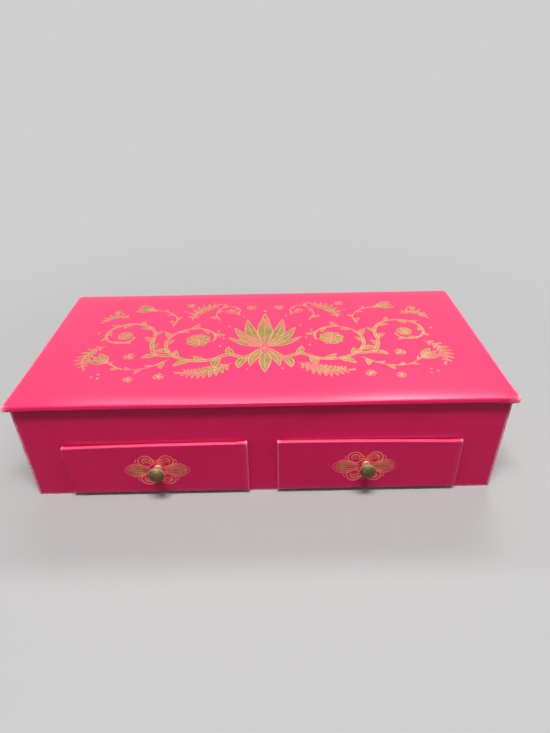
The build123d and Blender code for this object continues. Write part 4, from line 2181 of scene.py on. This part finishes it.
    def build(self) -> None:
        """Makes and dresses every piece of the drawer."""
        self.front()
        self.tray()
        self.knob()
        self.screw()
        self.cartouche()
        parts = ("tray_bottom", "tray_left_side", "tray_right_side", "tray_front", "tray_back")
        dress(PALETTE.board, f"{self.name}_drawer_front_board")
        dress(PALETTE.board, *(f"{self.name}_{part}" for part in parts))
        dress(PALETTE.steel, f"{self.name}_knob_washer")


# Studio


@dataclass(frozen=True)
class Lamp:
    """A soft rectangular lamp that the camera doesn't see.

    Attributes:
        name: its name.
        place: where it is, in metres.
        size: its width and height in metres.
        power: its power in watts.
        aim: the point that it faces.
    """

    name: str
    place: Place
    size: Point
    power: float
    aim: Place

    def build(self) -> None:
        """Adds the lamp."""
        data = bpy.data.lights.new(self.name, "AREA")
        data.shape = "RECTANGLE"
        data.size, data.size_y = self.size
        data.energy = self.power
        made = placed(self.name, data)
        made.visible_camera = False
        way = Vector(self.aim) - Vector(self.place)
        turn = way.to_track_quat("-Z", "Y").to_matrix().to_4x4()
        made.matrix_world = Matrix.Translation(self.place) @ turn


@dataclass
class Studio:
    """Floor, world, lamps and camera.

    Attributes:
        place: the camera's place in metres.
        pitch: how far it looks down, in degrees.
        yaw: how far it is turned to the right.
        roll: how far it is tilted.
        lens: its focal length in millimetres.
        sensor: width of its sensor in millimetres.
        ambient: the world's light on the chest.
        floor_size: half the floor's width in metres.
        lamps: the lamps: one from above, two that the lid mirrors and two from the sides.
    """

    place: Place = (0.007228, -0.356668, 0.288164)
    pitch: float = 33.023
    yaw: float = 0.342
    roll: float = 0.852
    lens: float = 25.093
    sensor: float = 36.0
    ambient: float = 0.13
    floor_size: float = 20.0
    lamps: tuple[Lamp, ...] = (
        Lamp("overhead", (0.0, -0.42, 1.27), (0.55, 0.20), 16.0, (0, 0, 0.05)),
        Lamp("sheen", (0.10, 0.72, 1.12), (1.5, 0.22), 5.5, (0, -0.08, 0.08)),
        Lamp("window", (0.41, 0.72, 1.12), (0.30, 0.22), 2.3, (0.1, -0.08, 0.08)),
        Lamp("fill_left", (-1.15, -0.55, 0.55), (0.5, 0.5), 1.8, (-0.15, 0, 0.04)),
        Lamp("fill_right", (1.15, -0.55, 0.55), (0.5, 0.5), 1.8, (0.15, 0, 0.04)),
    )

    def camera(self) -> None:
        """Puts the camera where the photograph was taken."""
        pitch, yaw, roll = (math.radians(a) for a in (self.pitch, self.yaw, self.roll))
        flat = math.cos(pitch)
        ahead = Vector((math.sin(yaw) * flat, math.cos(yaw) * flat, -math.sin(pitch)))
        level = Vector((math.cos(yaw), -math.sin(yaw), 0))
        down = ahead.cross(level)
        right = level * math.cos(roll) + down * math.sin(roll)
        lower = down * math.cos(roll) - level * math.sin(roll)
        turn = Matrix((right, -lower, -ahead)).transposed().to_4x4()
        data = bpy.data.cameras.new("camera")
        data.lens = self.lens
        data.sensor_width = self.sensor
        data.clip_start = 0.01
        data.clip_end = 100.0
        made = placed("camera", data)
        made.matrix_world = Matrix.Translation(self.place) @ turn
        bpy.context.scene.camera = made

    def world(self) -> None:
        """Pale background and weak light from all round."""
        made = bpy.data.worlds.new("studio")
        bpy.context.scene.world = made
        made.use_nodes = True
        shade = Shade(made.node_tree)
        glow = PALETTE.ground.glow
        level = shade.shown_directly() * (glow - self.ambient) + self.ambient
        light = shade.node("ShaderNodeBackground", {}, {"Color": (1, 1, 1), "Strength": level})
        shade.node("ShaderNodeOutputWorld", {}, {"Surface": light})

    def floor(self) -> None:
        """Wide floor under the chest."""
        form = Form("floor")
        bmesh.ops.create_grid(form.bm, x_segments=8, y_segments=8, size=self.floor_size)
        mesh = bpy.data.meshes.new("floor")
        form.bm.to_mesh(mesh)
        form.bm.free()
        mesh.materials.append(PALETTE.ground.material)
        made = placed("floor", mesh)
        made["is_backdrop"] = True

    def build(self) -> None:
        """Sets the whole studio up."""
        bpy.context.scene.view_settings.view_transform = "Standard"
        self.camera()
        self.world()
        self.floor()
        for lamp in self.lamps:
            lamp.build()


def span(bounds: tuple[Vector, Vector]) -> list[list[float]]:
    """Two corners as plain lists."""
    return [list(corner) for corner in bounds]


def main() -> None:
    """Builds the chest and its studio."""
    logging.basicConfig(level=logging.INFO, format="%(name)s: %(message)s")
    solids = span(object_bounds())
    Studio().build()
    Lid().build()
    Case().build()
    Hinge().build()
    Stay().build()
    for side in Side:
        Drawer(side).build()
    {"cad": solids, "visual": span(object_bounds())}


if __name__ == "__main__":
    main()
